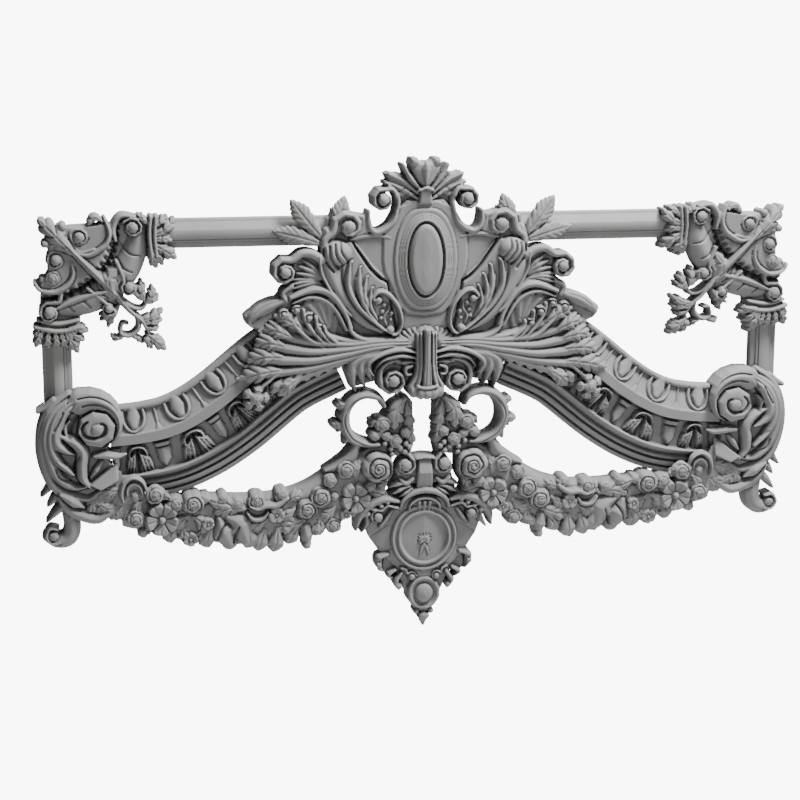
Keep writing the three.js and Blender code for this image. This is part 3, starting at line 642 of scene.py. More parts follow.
def oval_boss(r):
    """Oval dome in fine rings, on a broad upright boss."""
    r.plate([(-4, 376), (40, 374), (66, 352), (84, 322), (91, 296), (92, 250), (88, 224), (78, 204),
             (56, 150), (40, 134), (-4, 128)], 50, 4, 4, 3)
    r.oval(0, 250, 37, 77, [(31, 47), (30, 53), (28, 54), (22, 54), (21, 52), (20, 55), (17, 56.5), (16, 54),
                            (15, 57), (12, 58.5), (11, 56), (10, 59), (6, 61), (4, 60), (3, 50), (1, 47),
                            (0, 50), (-1, 59), (-7, 64), (-9, 65), (-37, 67)])


def crown(r):
    """Faceted bud between its petals, flat-tipped wings with slashes, and the coiled horns."""
    r.plate([(30, 396), (46, 424), (52, 432), (86, 432), (80, 419), (81, 408), (88, 402), (70, 390),
             (48, 380)], 46, 3, 4)
    r.stroke([(16, 378), (48, 398), (84, 412)], [8, 13, 10], 51, 6, "gable")
    r.stroke([(16, 390), (46, 414), (76, 429)], [8, 13, 12], 52, 6, "gable")
    r.stroke([(12, 398), (34, 424), (48, 449)], [8, 15, 8], 57, 8, "gable", 4)
    r.plate([(-4, 398), (4, 398), (18, 414), (30, 434), (34, 452), (30, 462), (20, 464), (12, 456),
             (-4, 454)], lambda x, z: 62 - 0.25 * np.abs(x) - 0.12 * np.abs(z - 440), 7, 8, 4)
    r.boss(24, 455, 9, 60, 8, sides=5)
    r.plate([(0, 458), (11, 440), (0, 404), (-11, 440)],
            lambda x, z: 66 - 0.55 * np.abs(x) - 0.1 * np.abs(z - 440), 2, 2, 2)
    r.plate([(-15, 366), (15, 366), (12, 398), (-12, 398)], lambda x, z: 57 + 0.12 * (z - 380), 3, 4, 4)
    r.stroke([(-15, 396), (0, 401), (15, 396)], [6, 7, 6], 63, 5)
    for (ax, az), (bx, bz) in (
            ((44, 401), (58, 392)), ((37, 390), (49, 382)), ((30, 373), (45, 366)), ((24, 386), (32, 380))):
        r.cut([(ax, az), (bx, bz)], 2.6, 4)
    r.rib([(62, 352), (58, 372), (64, 392), (78, 404)], [10, 12, 12, 10], 55, 8, 2.5)
    r.scroll(91, 376, 30, 2.0, -1, [58, 70], [(62, 384), (70, 398)], stem=10, sides=8)
    r.rib([(62, 353), (69, 331), (85, 316), (103, 309), (116, 316), (122, 334), (121, 353)],
          [9, 13, 14, 14, 13, 12, 7], 56, 8, 2.5)


def shoulder(r):
    """Scroll on the shoulder, ridged bud under it, and the sprig laid over the rail."""
    for way, width in (
            (((204, 286), (184, 336), (167, 392)), 32), (((210, 288), (252, 338), (288, 385)), 34),
            (((208, 282), (268, 302), (329, 316)), 32)):
        r.leaf(way, 1.25 * width, [48, 50, 40], lobes=8, cut=0.24, depth=4, vein=1.6, slant=1.3, root=0.15,
               moat=3, peak=0.46, rib=-2.5)
    r.rib([(212, 262), (215, 286), (209, 314)], [16, 18, 16], 54, 8, 3)
    r.scroll(163, 322, 44, -0.3, 1, [57, 64], [(216, 276), (213, 296)], turns=1.2, rate=0.16, eye=0.3,
             stem=16)
    r.boss(188, 267, 31, 70, 22, moat=8, tall=0.88)
    # Ridges across the bud, from its tip to the stem
    for k in range(4):
        x, z, half = 210 - 11 * k, 254 + 5.5 * k, 25 - 1.5 * k
        r.cut([(x - 0.35 * half - 4, z - half), (x + 5, z), (x + 0.45 * half - 4, z + 0.95 * half)], 4.6,
              10 - k)
    # Outer scroll: its stem, the facets under it, and the neck
    r.plate([(222, 262), (244, 268), (276, 262), (284, 236), (274, 212), (240, 200), (222, 226)], 44, 4, 5)
    r.plume([(222, 214), (244, 226), (276, 236)], 54, [50, 57, 54], 4, 13, 8, 4, short=0.1)
    r.plume([(214, 196), (250, 206), (296, 196)], 34, [50, 57, 54], 4, 11, 8, 4, short=0.1)
    r.scroll(299, 229, 36, 2.1, -1, [59, 69], [(222, 254), (240, 266), (262, 268)], turns=1.2, rate=0.11,
             depth=9, eye=0.32, stem=20)
    r.plate([(286, 202), (304, 197), (309, 183), (303, 171), (322, 168), (340, 158), (300, 150), (276, 176)],
            50, 5, 5)
    r.stroke([(284, 200), (304, 186), (296, 168)], [9, 12, 9], 56, 7)


def acanthus_fan(r):
    """Ribs that flow from the clasp out over the arm, with curls, arched leaf, ear and flower."""
    r.plate([(180, 140), (205, 190), (250, 198), (300, 180), (318, 172), (346, 158), (376, 147), (386, 138),
             (383, 124), (366, 110), (330, 100), (260, 60), (200, 50)], 45, 6, 6)
    # Smooth ear at the top
    r.stroke([(300, 170), (330, 160), (358, 146), (374, 130), (369, 115)], [14, 25, 27, 20, 6],
             [54, 57, 56, 48], 12, "round", 4)
    r.cut([(306, 158), (334, 150), (356, 134)], 3, 3.5)
    r.cut([(312, 170), (342, 160), (366, 142)], 2.5, 3)
    # Arched leaf and the facets it shelters
    r.rib([(160, 108), (178, 150), (204, 182), (240, 192), (288, 176)], [10, 16, 18, 17, 10], 62, 9)
    r.rib([(170, 104), (192, 146), (218, 170), (250, 176), (284, 164)], [8, 10, 10, 10, 6], 60, 7)
    for k in range(5):
        a = 1.95 - 0.42 * k
        x, z = 226 + 52 * math.cos(a), 118 + 46 * math.sin(a)
        r.stroke([(206 + 3 * k, 112 - 2 * k), (x, z)], [12, 25], [50, 56], 5, "gable", 2)
    # Curls, each at the end of its own rib
    for x, z, size, start, lead in (
            (304, 142, 14, 2.4, ((210, 64), (250, 88), (282, 120), (288, 142))),
            (277, 150, 13, 2.2, ((196, 62), (232, 92), (258, 128), (262, 150))),
            (251, 133, 14, 2.2, ((184, 62), (212, 86), (232, 112), (236, 134))),
            (230, 109, 11, 2.2, ((176, 66), (198, 84), (214, 100), (218, 112)))):
        r.rib(lead, [6, 9, 10, 8], [60, 64, 66, 64], 7)
        r.scroll(x, z, size, start, -1, [64, 69], (), turns=1.1, rate=0.12, depth=6, moat=3)
    fan_ribs(r)
    # Leaf tip curled under the ribs
    for k in range(7):
        x, z = 172 + 23 * k, 44 - 8 * k
        r.leaf([(x, z + 6), (x + 12, z - 8), (x + 16, z - 26)], 22, [60, 62, 50], lobes=2, cut=0.3, depth=8,
               vein=2)


def fan_ribs(r):
    """Long ribs from the clasp that part into leaves, and the flower under them."""
    for path, top, width in (
            (((30, 82), (100, 84), (166, 82), (236, 98), (300, 120), (332, 122)), 62, 11),
            (((30, 78), (100, 79), (168, 74), (240, 80), (304, 94), (344, 94)), 65, 12),
            (((30, 72), (100, 72), (168, 64), (244, 60), (316, 70), (364, 58)), 67, 13),
            (((32, 66), (100, 66), (168, 54), (246, 42), (326, 44), (384, 32)), 68, 13),
            (((34, 60), (96, 60), (166, 44), (244, 26), (326, 16), (402, 6)), 66, 12),
            (((150, 40), (196, 30), (250, 12), (300, -8), (330, -24)), 62, 11)):
        r.rib(path, [6, 0.9 * width, 1.2 * width, 1.5 * width, 1.8 * width, 6],
              [top - 4, top, top, top - 2, top - 6, 52], 8, 5)
    for root, bend, tip, spread in (
            ((262, 110), (300, 132), (330, 140), 30), ((286, 92), (322, 108), (350, 106), 34),
            ((296, 72), (338, 82), (368, 72), 34), ((300, 50), (350, 52), (386, 40), 34),
            ((306, 24), (356, 18), (404, 4), 32), ((270, 6), (300, -14), (318, -36), 30)):
        r.leaf([root, bend, tip], 1.35 * spread, [62, 67, 52], lobes=4, cut=0.45, depth=10, vein=3, slant=1.2,
               root=0.35, rib=-3)
    r.stroke([(312, 20), (338, 0), (354, -14)], [9, 9, 8], 62, 6)
    x, z = 364, -35
    for a in (0.2, 1.5, 2.8, 4.1, 5.3):
        bent = a + 0.3
        r.leaf([(x + 8 * math.cos(a), z + 8 * math.sin(a)),
                (x + 20 * math.cos(bent), z + 20 * math.sin(bent)),
                (x + 31 * math.cos(bent), z + 31 * math.sin(bent))], 26, [66, 67, 56], lobes=2, cut=0.2,
               vein=2, root=0.6)
    r.rose(x, z, 15, 71, 0.5)


def lower_scrolls(r):
    """Shell flutes, lower scroll, the curled leaf over it, and the hanging leaf."""
    for k in range(6):
        a = 1.5 - 0.27 * k
        r.stroke([(20, 58), (20 + 18 * math.cos(a), 62 + 20 * math.sin(a)),
                  (22 + 42 * math.cos(a), 64 + 36 * math.sin(a))], [3, 7, 10], [58, 62, 56], 6, "round", 3)
    r.plate([(26, 44), (60, 58), (98, 50), (114, 24), (104, -14), (68, -40), (36, -20), (24, 6)], 42, 4, 4)
    r.scroll(70, -8, 37, 0.35, -1, [60, 71], [(40, 26), (66, 36), (92, 24)], rate=0.09, depth=11, eye=0.34,
             stem=10, sides=8)
    for path, width, top in (
            (((20, 52), (58, 60), (100, 50), (126, 28), (112, 4)), 13, 72),
            (((20, 40), (56, 47), (92, 39), (110, 18)), 12, 70), (((22, 30), (46, 33), (64, 28)), 9, 64)):
        r.rib(path, [6, width, width, 0.8 * width, 4], [top - 4, top, top, top - 6], 9, 4.5)
    for mid, tip, width in (
            ((122, 44), (114, -10), 20), ((136, 38), (128, -24), 22), ((152, 36), (150, -33), 24)):
        r.rib([(84, 62), mid, ((mid[0] + tip[0]) / 2 + 7, (mid[1] + tip[1]) / 2), tip],
              [6, 0.9 * width, width, 3], [62, 68, 64, 52], 9, 4.5)


def clasp(r):
    """Fluted upright with an arched head, side flutes curling off it and a lobed foot."""
    r.plate([(-24, 84), (-18, 100), (-10, 106), (10, 106), (18, 100), (24, 84), (20, 30), (22, 0), (30, -20),
             (-30, -20), (-22, 0), (-20, 30)], 68, 6, 5, 4)
    r.rib([(30, 24), (44, 18), (42, 6), (32, 6)], [8, 10, 9, 7], 66, 7)
    for off, foot, width, top in ((20, 34, 9, 72), (13, 22, 8, 77)):
        r.rib([(off, 94), (off - 1, 40), (off + 2, 4), (foot, -22)], [5, width, width, 1.5 * width], top, 7)
    r.stroke([(0, 100), (0, 30), (0, -30)], [14, 15, 24], [86, 83, 80], 7, "flat", 4)
    for off in (-3.5, 3.5):
        r.cut([(off, 92), (off, 20), (1.8 * off, -24)], 2.4, 3.5)
    for x, size, top in ((27, 12, 76), (13, 13, 82), (0, 12, 84)):
        r.boss(x, -35 + 0.12 * x, size, top, 12, moat=4, tall=1.1)
    r.stroke([(-22, -18), (0, -22), (22, -18)], [5, 6, 5], 84, 4, "round", 2)


def pendant_half():
    """Scroll block, shield with its oval ring, boss, curls and finial."""
    r = Relief(0, 158, -572, -172)
    r.plate([(-4, -182), (50, -182), (64, -222), (74, -258), (104, -284), (134, -312), (125, -345),
             (118, -362), (90, -402), (98, -438), (60, -444), (44, -478), (30, -508), (12, -528), (-4, -530)],
            30, 4, 4)
    pendant_shield(r)
    # Scrolls and leaf points beside the block
    r.plate([(12, -178), (50, -178), (66, -206), (52, -240), (12, -240)], 44, 5, 6, 3)
    r.scroll(42, -196, 28, 1.9, 1, [56, 63], (), turns=1.2, rate=0.11, depth=8, eye=0.42)
    r.rib([(26, -226), (40, -236), (54, -226)], [8, 12, 8], 56, 7)
    for path, width in (
            (((38, -236), (56, -236), (78, -246)), 13), (((34, -242), (52, -248), (76, -262)), 13),
            (((28, -248), (44, -258), (58, -268)), 11)):
        r.rib(path, [9, width, 3], [54, 56, 48])
    # Leaf scrolls spreading over the shield's shoulders
    r.rib([(58, -276), (88, -270), (120, -280), (142, -306), (150, -337)], [12, 22, 26, 24, 8], [54, 58, 48],
          12, 5)
    for t, x, z in ((0, 84, -256), (1, 112, -264), (2, 138, -282), (3, 152, -306)):
        r.rib([(82 + 14 * t, -276 - 8 * t), (x, z)], [14, 5], [56, 46])
    r.rib([(128, -300), (126, -322), (138, -342)], [10, 14, 5], 48)
    r.scroll(104, -308, 21, 2.2, -1, [54, 60], ((60, -290), (82, -284)), rate=0.11, depth=7, eye=0.42)
    r.rib([(72, -296), (86, -318), (98, -332)], [8, 10, 6], 50, 7)
    # Arch over the oval with curled ends
    r.rib([(0, -252), (24, -257), (46, -272), (54, -292)], [16, 15, 11, 7], [58, 57, 54], 7)
    r.rib([(0, -270), (16, -273), (30, -283), (34, -294)], [9, 9, 7, 5], 54, 5, 3)
    for x in (0, 12):
        r.rib([(x, -280), (0.8 * x, -302)], [10, 3], [54, 46], 6, 3)
    r.plate([(-19, -248), (19, -248), (15, -178), (-15, -178)], lambda x, z: 62 - 0.35 * np.abs(z + 212), 5,
            5, 4)
    r.stroke([(0, -178), (19, -180)], 7, 60, 5)
    finial(r)
    r.ease(5, 6)
    return r


def pendant_shield(r):
    """Shield in flat facets that fall away from the oval, and the palm in the oval."""
    r.plate([(-4, -268), (40, -270), (92, -292), (126, -318), (122, -348), (98, -392), (66, -424), (30, -452),
             (-4, -456)], lambda x, z: 45 - 0.13 * np.abs(x) + 0.02 * (z + 360), 4, 5, 3)
    r.cut([(80, -330), (118, -356)], 3, 2)
    r.cut([(74, -384), (92, -404)], 3, 2)
    r.oval(0, -360, 52, 54, [(21, 40), (20, 46), (17, 48), (14, 47), (13, 42), (8, 42), (7, 47), (4, 49),
                             (1, 48), (0, 42), (-3, 39), (-20, 41), (-50, 43)])
    # Small palm in the oval
    for k in range(5):
        a = math.pi / 2 - 0.48 * k
        r.rib([(0, -370), (0.5 + 8 * math.cos(a), -368 + 9 * math.sin(a)),
               (14 * math.cos(a), -364 + 15 * math.sin(a))], [3, 7, 3], [46, 49, 45], 5, 3)
    r.stroke([(0, -374), (6, -386), (9, -398)], [5, 7, 4], 47, 4)


def finial(r):
    """Curls under the shield, lower boss and finial."""
    for path, width in (
            (((80, -396), (100, -404), (104, -420)), 15), (((96, -408), (98, -424), (92, -434)), 12),
            (((64, -432), (78, -442), (70, -452)), 13), (((50, -440), (62, -460), (54, -478)), 14)):
        r.rib(path, [8, width, 0.5 * width], [46, 48, 42], 7, 3.5)
    r.boss(101, -418, 7, 48, 5)
    r.boss(54, -470, 7, 46, 5)
    r.scroll(27, -448, 15, 0.6, 1, [46, 50], ((50, -428), (40, -432)), turns=1.1, rate=0.12, depth=6, eye=0.4,
             stem=7)
    r.plate([(-4, -454), (18, -458), (38, -476), (38, -500), (22, -522), (12, -532), (-4, -534)], 38, 5, 6)
    r.oval(0, -487, 19, 21, [(17, 40), (15, 45), (11, 46), (8, 42), (3, 38), (1, 40), (0, 44), (-6, 49),
                             (-19, 52)])
    r.boss(16, -530, 7, 43, 5)
    r.boss(0, -541, 13, 46, 8, moat=3, tall=0.8, sides=7)
    r.rib([(0, -536), (0, -550), (0, -562)], [15, 17, 7], [45, 43, 40], 7, 2.5)


def corner_ornament():
    """Scrolls, bowls and shell in the frame's corner, its collars and its hanging sprig."""
    r = Relief(512, 822, 60, 362)
    r.plate([(571, 345), (640, 342), (652, 334), (740, 332), (776, 322), (786, 300), (780, 285), (786, 220),
             (802, 190), (806, 112), (728, 112), (722, 145), (682, 165), (640, 168), (618, 222), (600, 262),
             (571, 268)], 32, 4, 4)
    # Broad leaf that lines the inner side, with its folds and two raised ribs
    r.rib([(598, 330), (606, 284), (626, 242), (658, 207), (700, 181), (745, 167), (784, 170)],
          [26, 50, 58, 60, 58, 46, 22], [43, 46, 46, 43], 13)
    for fold in (
            ((642, 306), (620, 276), (596, 270)), ((650, 276), (632, 246), (614, 236)),
            ((690, 222), (680, 198), (664, 184)), ((722, 200), (714, 180), (700, 166)),
            ((754, 186), (746, 170), (734, 158))):
        r.cut(fold, [2.5, 4.5, 3], 4.5)
    r.leaf([(652, 186), (662, 222), (638, 254)], 34, [46, 53, 46], lobes=2, cut=0.3)
    r.rib([(668, 198), (706, 190), (744, 177), (772, 164)], [8, 14, 14, 6], 49, 8, 5)
    corner_shell(r)
    corner_leaf(r)
    # Scrolls round the rim
    r.rib([(646, 302), (650, 330), (634, 352), (606, 350)], [8, 15, 15, 10], 47, 8, 5)
    r.scroll(610, 328, 27, 0.6, 1, [48, 54], (), turns=1.2, depth=9, moat=5, eye=0.4)
    r.scroll(621, 204, 21, 0.9, -1, [49, 54], ((646, 260), (636, 236)), depth=8, moat=5, eye=0.44, stem=9)
    r.scroll(664, 162, 19, 3.6, 1, [48, 53], ((706, 206), (686, 188)), depth=8, moat=5, eye=0.44, stem=9)
    r.scroll(784, 157, 28, 2.0, -1, [49, 56], ((760, 196), (764, 180)), depth=9, moat=5, eye=0.42, stem=12)
    corner_collars(r)
    corner_sprig(r)
    r.ease(5, 6)
    r.lie_over([RAIL, POST])
    return r


def corner_leaf(r):
    """Leaf with a lobe on each side, on the diagonal rib that crosses the corner."""
    for lobe in (((728, 282), (752, 306), (754, 341)), ((736, 278), (764, 298), (796, 296))):
        r.leaf(lobe, 28, [52, 55, 46], lobes=2, cut=0.35, slant=1.0, peak=0.6)
    r.boss(753, 334, 8, 53, 6, moat=4, sides=7)
    r.boss(789, 299, 8, 53, 6, moat=4, sides=7)
    r.leaf([(722, 270), (764, 312), (805, 354)], 46, [56, 58, 42], lobes=4, cut=0.5, depth=11, vein=3,
           slant=1.3, root=0.3, moat=6, peak=0.62)
    r.rib([(764, 314), (744, 294), (700, 247), (650, 192)], [5, 14, 18, 14], [58, 57, 48], 12, 6)
    r.cut([(748, 296), (700, 243), (656, 196)], 2.5, 3)
    r.rib([(664, 210), (646, 190), (634, 172)], [10, 12, 12], 46, 8, 3)


def corner_shell(r):
    """Shell, parted from the leaf by a saw-toothed gap, and the two bowls in it."""
    edge = spline([(646, 338), (650, 300), (662, 264), (686, 234), (716, 210), (764, 190), (800, 186)], 5)
    r.plate(list(edge) + [(800, 216), (786, 240), (782, 322), (740, 334)], 47, 3, 3, 4)
    r.cut([(x + 4.5 * (-1) ** i, z + 4.5 * (-1) ** i) for i, (x, z) in enumerate(edge)], 8, 18, raw=True)
    # Bowls, rolled along their outer edge, with what they hold
    for path in (
            ((668, 350), (658, 322), (663, 300), (680, 284), (706, 274), (736, 284)),
            ((737, 262), (734, 236), (746, 214), (770, 200), (800, 204), (812, 220))):
        r.plate(path, 40, 3, 4, 3, curved=True)
        r.rib(path, [7, 11, 12, 12, 11, 7], [50, 56, 50], 8, 6)
    for path in (((676, 318), (684, 300), (704, 290)), ((752, 232), (762, 218), (782, 212))):
        r.rib(path, [6, 8, 5], 47, 5, 3)
    r.leaf([(672, 344), (688, 350), (704, 332)], 18, 51, lobes=2, cut=0.3, depth=6, vein=2, slant=1, root=0.6,
           moat=3)
    r.scroll(719, 311, 24, 0.4, 1, [50, 57], ((690, 286), (722, 282)), depth=9, moat=5, eye=0.44)
    r.scroll(768, 265, 24, 1.4, -1, [50, 57], (), depth=9, moat=5, eye=0.44)
    r.rose(776, 228, 16, 55, 0.4)
    r.boss(797, 226, 7, 46, 5, moat=3, sides=5)


def corner_collars(r):
    """Collars over the end of the rail and the top of the post."""
    r.plate([(556, 266), (566, 262), (580, 266), (580, 353), (556, 353)], 46, 5, 5)
    r.stroke([(563, 268), (566, 310), (563, 351)], 7, 51, 5, "round", 4)
    r.stroke([(573, 268), (577, 310), (574, 351)], 8, 52, 5, "round", 4)
    for way, width in (
            (((572, 312), (546, 322), (521, 351)), 27), (((572, 328), (552, 340), (535, 353)), 20),
            (((570, 302), (548, 304), (527, 297)), 22), (((572, 294), (546, 280), (518, 259)), 30),
            (((574, 286), (558, 264), (549, 245)), 22), (((578, 284), (570, 262), (562, 240)), 25),
            (((576, 334), (590, 346), (603, 358)), 18)):
        r.leaf(way, width, [48, 51, 40], lobes=3, cut=0.45, depth=8, vein=3, slant=1.0, moat=4, rib=-2.5)
    # Collar over the top of the post
    r.plate([(722, 112), (811, 112), (814, 134), (722, 136)], 42, 5, 6)
    r.rib([(720, 126), (766, 118), (814, 128)], [10, 12, 10], 50, 7, 5)
    r.rib([(726, 140), (768, 133), (808, 141)], [8, 10, 8], 47, 6, 5)
    for way, width in (
            (((746, 126), (722, 120), (703, 113)), 20), (((748, 122), (730, 104), (711, 95)), 22),
            (((754, 122), (742, 96), (726, 66)), 27), (((762, 120), (758, 98), (746, 79)), 20),
            (((774, 120), (772, 96), (766, 77)), 22), (((786, 120), (790, 98), (786, 79)), 22),
            (((798, 122), (808, 104), (816, 81)), 22), (((804, 124), (812, 116), (818, 104)), 14)):
        r.leaf(way, width, [48, 50, 38], lobes=3, cut=0.45, depth=8, vein=3, slant=1.0, moat=4, rib=-2.5)


def corner_sprig(r):
    """Hanging sprig: its leaves, stem, branch and curled end."""
    for way, width in (
            (((640, 172), (658, 152), (689, 147)), 20), (((650, 160), (668, 144), (686, 134)), 15),
            (((646, 162), (660, 138), (668, 116)), 17), (((590, 170), (576, 186), (575, 210)), 21),
            (((590, 172), (596, 196), (597, 224)), 22), (((590, 174), (606, 190), (609, 208)), 15),
            (((590, 170), (572, 176), (558, 189)), 16), (((606, 136), (576, 140), (548, 159)), 23),
            (((600, 130), (572, 130), (549, 135)), 18), (((590, 122), (574, 116), (558, 120)), 16),
            (((588, 106), (566, 86), (544, 67)), 26), (((586, 106), (572, 96), (550, 92)), 16),
            (((588, 104), (584, 86), (574, 70)), 17), (((624, 106), (606, 97), (593, 82)), 14),
            (((630, 106), (650, 98), (664, 107)), 15)):
        r.leaf(way, width, [39, 41, 32], lobes=3, cut=0.45, depth=7, slant=1.0, root=0.45, moat=3)
    r.rib([(642, 182), (618, 154), (598, 136), (586, 116), (580, 96)], [16, 13, 11, 9, 6], [44, 43, 38], 8, 5)
    r.rib([(634, 176), (614, 162), (596, 160), (585, 174)], [12, 11, 10, 7], [42, 41, 38], 7)
    r.rib([(606, 142), (604, 120), (620, 104), (640, 108), (638, 128), (626, 128)], [10, 12, 12, 11, 9, 6],
          [40, 41, 38], 7)
    r.boss(588, 93, 8, 41, 5, moat=3)


def garland_end(r):
    """Leaves and buds where the garland runs in under the volute."""
    r.plate([(594, -240), (602, -212), (620, -196), (640, -204), (654, -180), (676, -162), (700, -214),
             (712, -262), (690, -284), (648, -292), (600, -306)], lambda x, z: 47 - 0.05 * np.abs(z + 236), 8,
            12, 3)
    for path, width, top in (
            (((648, -252), (664, -276), (656, -293)), 34, 50),
            (((676, -238), (694, -262), (688, -290)), 36, 51),
            (((632, -262), (640, -284), (634, -303)), 26, 50),
            (((694, -228), (712, -258), (706, -293)), 34, 50),
            (((650, -222), (672, -226), (698, -240)), 40, 54),
            (((696, -214), (672, -200), (646, -182)), 34, 54),
            (((700, -250), (676, -262), (650, -256)), 30, 55)):
        r.leaf(path, width, [top - 4, top, top - 8], lobes=3, cut=0.35, vein=3, slant=1.0, root=0.45,
               rib=-2.5)
    r.rose(622, -286, 19, 66, 1.2)
    r.rib([(598, -226), (606, -206), (624, -196), (642, -206), (650, -228), (646, -248)],
          [5, 9, 12, 13, 11, 4], 60, 9, 6)
    r.rib([(606, -234), (612, -216), (626, -210), (637, -220), (638, -236)], [4, 8, 10, 10, 4], 57, 7, 5)
    r.leaf([(618, -252), (622, -236), (618, -222)], 22, [52, 57, 52], lobes=3, cut=0.3, depth=8, vein=3)


def side_volute():
    """Large volute, its flowing leaves, drapery and scroll foot."""
    r = Relief(630, 834, -352, 0)
    r.plate([(706, -24), (776, -30), (806, -80), (812, -140), (798, -205), (780, -262), (740, -288),
             (690, -286), (668, -240), (672, -130), (660, -100), (660, -60)], 40, 6, 6)
    garland_end(r)
    # Spikes, the nub on the post, and the pointed bud
    for path in (
            ((784, -196), (804, -220), (815, -232)), ((780, -228), (794, -244), (802, -254)),
            ((768, -250), (786, -266), (805, -288))):
        r.rib(path, [22, 16, 7], [48, 46, 38])
    r.stroke([(782, -30), (800, -42), (815, -50)], [20, 15, 11], [48, 44], 7)
    volute_foot(r)
    volute_ribs(r)
    # Leaf at the side, and the drapery caught under it
    r.rib([(704, -146), (680, -146), (656, -149), (638, -145)], [10, 17, 16, 4], [60, 62, 54], 8, 6)
    r.plate([(655, -164), (668, -170), (716, -208), (692, -220), (656, -202)],
            lambda x, z: 62 - 0.26 * (z + 216), 2, 3, 6)
    r.stroke([(690, -160), (700, -176), (712, -192)], [10, 14, 8], [54, 58, 54], 7, "gable", 3)
    volute_coil(r)
    r.ease(5, 6)
    r.edge = np.maximum(r.edge, r.polygon_distance(VOLUTE_FIELD))
    r.lie_over([POST], arm=True)
    return r


def volute_foot(r):
    """Scroll foot, the bulging leaf over it, and the bud that hangs at its side."""
    r.rib([(770, -228), (757, -270), (754, -304), (764, -326), (786, -330), (804, -320)],
          [30, 33, 36, 36, 34, 26], [46, 48, 43], 10)
    r.stroke([(742, -250), (740, -284), (742, -308), (756, -330), (780, -340)], [5, 7, 7, 7, 5], 43, 5)
    r.rib([(784, -304), (800, -302), (808, -318), (798, -334), (780, -332)], [7, 10, 11, 9, 6], 47, 7)
    r.boss(793, -318, 10, 48, 6, moat=4, sides=7)
    # Bulging leaf over the foot, and the bud that hangs at its side
    r.rib([(672, -268), (700, -284), (732, -276), (762, -258), (780, -232)], [16, 24, 26, 22, 10], 54, 11, 5)
    r.cut([(696, -272), (724, -268), (752, -254), (770, -238)], 3, 4)
    r.rib([(776, -226), (760, -236), (746, -246), (728, -257)], [10, 20, 22, 5], [58, 62, 52], 9, 6)


def volute_ribs(r):
    """Ribs that leave the coil's crown and flow down, outermost first, and the hollow behind it."""
    for path, widths, top in (
            (((752, -14), (790, -44), (810, -94), (810, -150), (790, -206), (752, -232), (720, -240),
              (698, -226)), [16, 22, 24, 24, 24, 24, 20, 8], 54),
            (((744, -22), (786, -54), (803, -98), (800, -140), (780, -188), (750, -212), (718, -211)),
             [12, 20, 22, 22, 24, 20, 8], 60),
            (((740, -26), (776, -56), (792, -96), (790, -132), (772, -164), (750, -186)),
             [10, 18, 22, 22, 18, 6], 64),
            (((728, -30), (760, -52), (779, -84), (780, -114), (762, -132), (744, -140)),
             [10, 16, 24, 26, 22, 6], 67),
            (((776, -98), (746, -114), (728, -136), (730, -168), (728, -194), (712, -214)),
             [6, 22, 26, 24, 22, 7], 66)):
        r.rib(path, widths, [top - 4, top, top, top - 6], 12, 7)
    for line in (
            ((716, -23), (738, -33), (752, -50)), ((764, -50), (776, -74), (784, -88)),
            ((734, -144), (743, -160), (751, -182)), ((752, -200), (776, -190), (784, -170))):
        r.cut(line, [2, 4, 3], 7)
    # Hollow behind the coil, with its small pointed leaf
    r.cut([(732, -60), (748, -78), (754, -104)], [6, 12, 8], 10)
    r.stroke([(752, -70), (762, -84), (758, -106)], [5, 10, 4], 58, 5, "gable", 3)
    r.stroke([(746, -184), (762, -170), (780, -154)], [4, 12, 4], 64, 6, "gable", 4)


def volute_coil(r):
    """Coil: a ribbed band that tapers round an eight-sided ring and its knob."""
    centre = np.array([697, -88])
    turn = np.linspace(1.05, 4.5, 12)
    reach = 125 * np.exp(-0.236 * (turn + 0.26))
    ray = np.stack([np.cos(turn), np.sin(turn)], 1)
    inner = 39
    width = np.maximum(0.98 * reach - inner, 4)
    r.plate(np.vstack([centre + (0.9 * reach)[:, None] * ray, [(724, -110)]]), 46, 3, 3, 3)
    r.rib(centre + (inner + width / 2)[:, None] * ray, width, [63, 66, 64, 62, 58], 10, 6, raw=True)
    for share in (0.36, 0.7):
        r.cut(spline(centre + (inner + share * width)[:8, None] * ray[:8], 4), [3, 4, 4, 1.5], [6, 6, 4, 1],
              raw=True)
    r.boss(*centre, 37, 68, 9, moat=9, flat=0.5, sides=8, turn=0.2)
    eye = [(26, 0.75), (29, 0.35), (30, 0), (26, -0.5), (19, -1.05), (17, -1.7), (17, -2.4), (18, 3.14),
           (19, 2.6), (16, 2.1)]
    r.cut([(centre[0] + size * math.cos(a), centre[1] + size * math.sin(a)) for size, a in eye],
          [3, 7, 6, 7, 3], 13)
    r.boss(*centre, 12, 72, 6, moat=3, sides=7)


def swag():
    """Drop on its curled strap, and the garland out to the volute."""
    r = Relief(12, 660, -392, -26)
    # Rounded body of the garland, then the ground of the drop
    r.plate([(70, -176), (150, -160), (200, -192), (250, -224), (290, -240), (335, -249), (400, -250),
             (450, -246), (495, -246), (550, -250), (588, -246), (612, -226), (640, -210), (662, -200),
             (662, -296), (600, -322), (545, -340), (505, -350), (465, -352), (420, -362), (380, -360),
             (330, -356), (300, -346), (258, -350), (225, -340), (180, -312), (140, -304), (96, -268)], 46,
            18, 26, 3, curved=True)
    r.plate([(34, -46), (56, -46), (84, -74), (112, -112), (112, -146), (150, -172), (158, -240), (104, -250),
             (78, -236), (50, -176), (26, -176), (20, -150), (22, -100), (22, -62)], 38, 6, 8)
    strap(r)
    drop(r)
    garland(r)
    garland_end(r)
    r.ease(5, 13)
    r.edge = np.maximum(r.edge, GAP - r.polygon_distance(VOLUTE_FIELD))
    r.edge = np.maximum(r.edge, GAP - r.polygon_distance(PENDANT_FIELD))
    r.lie_over(arm=True)
    return r


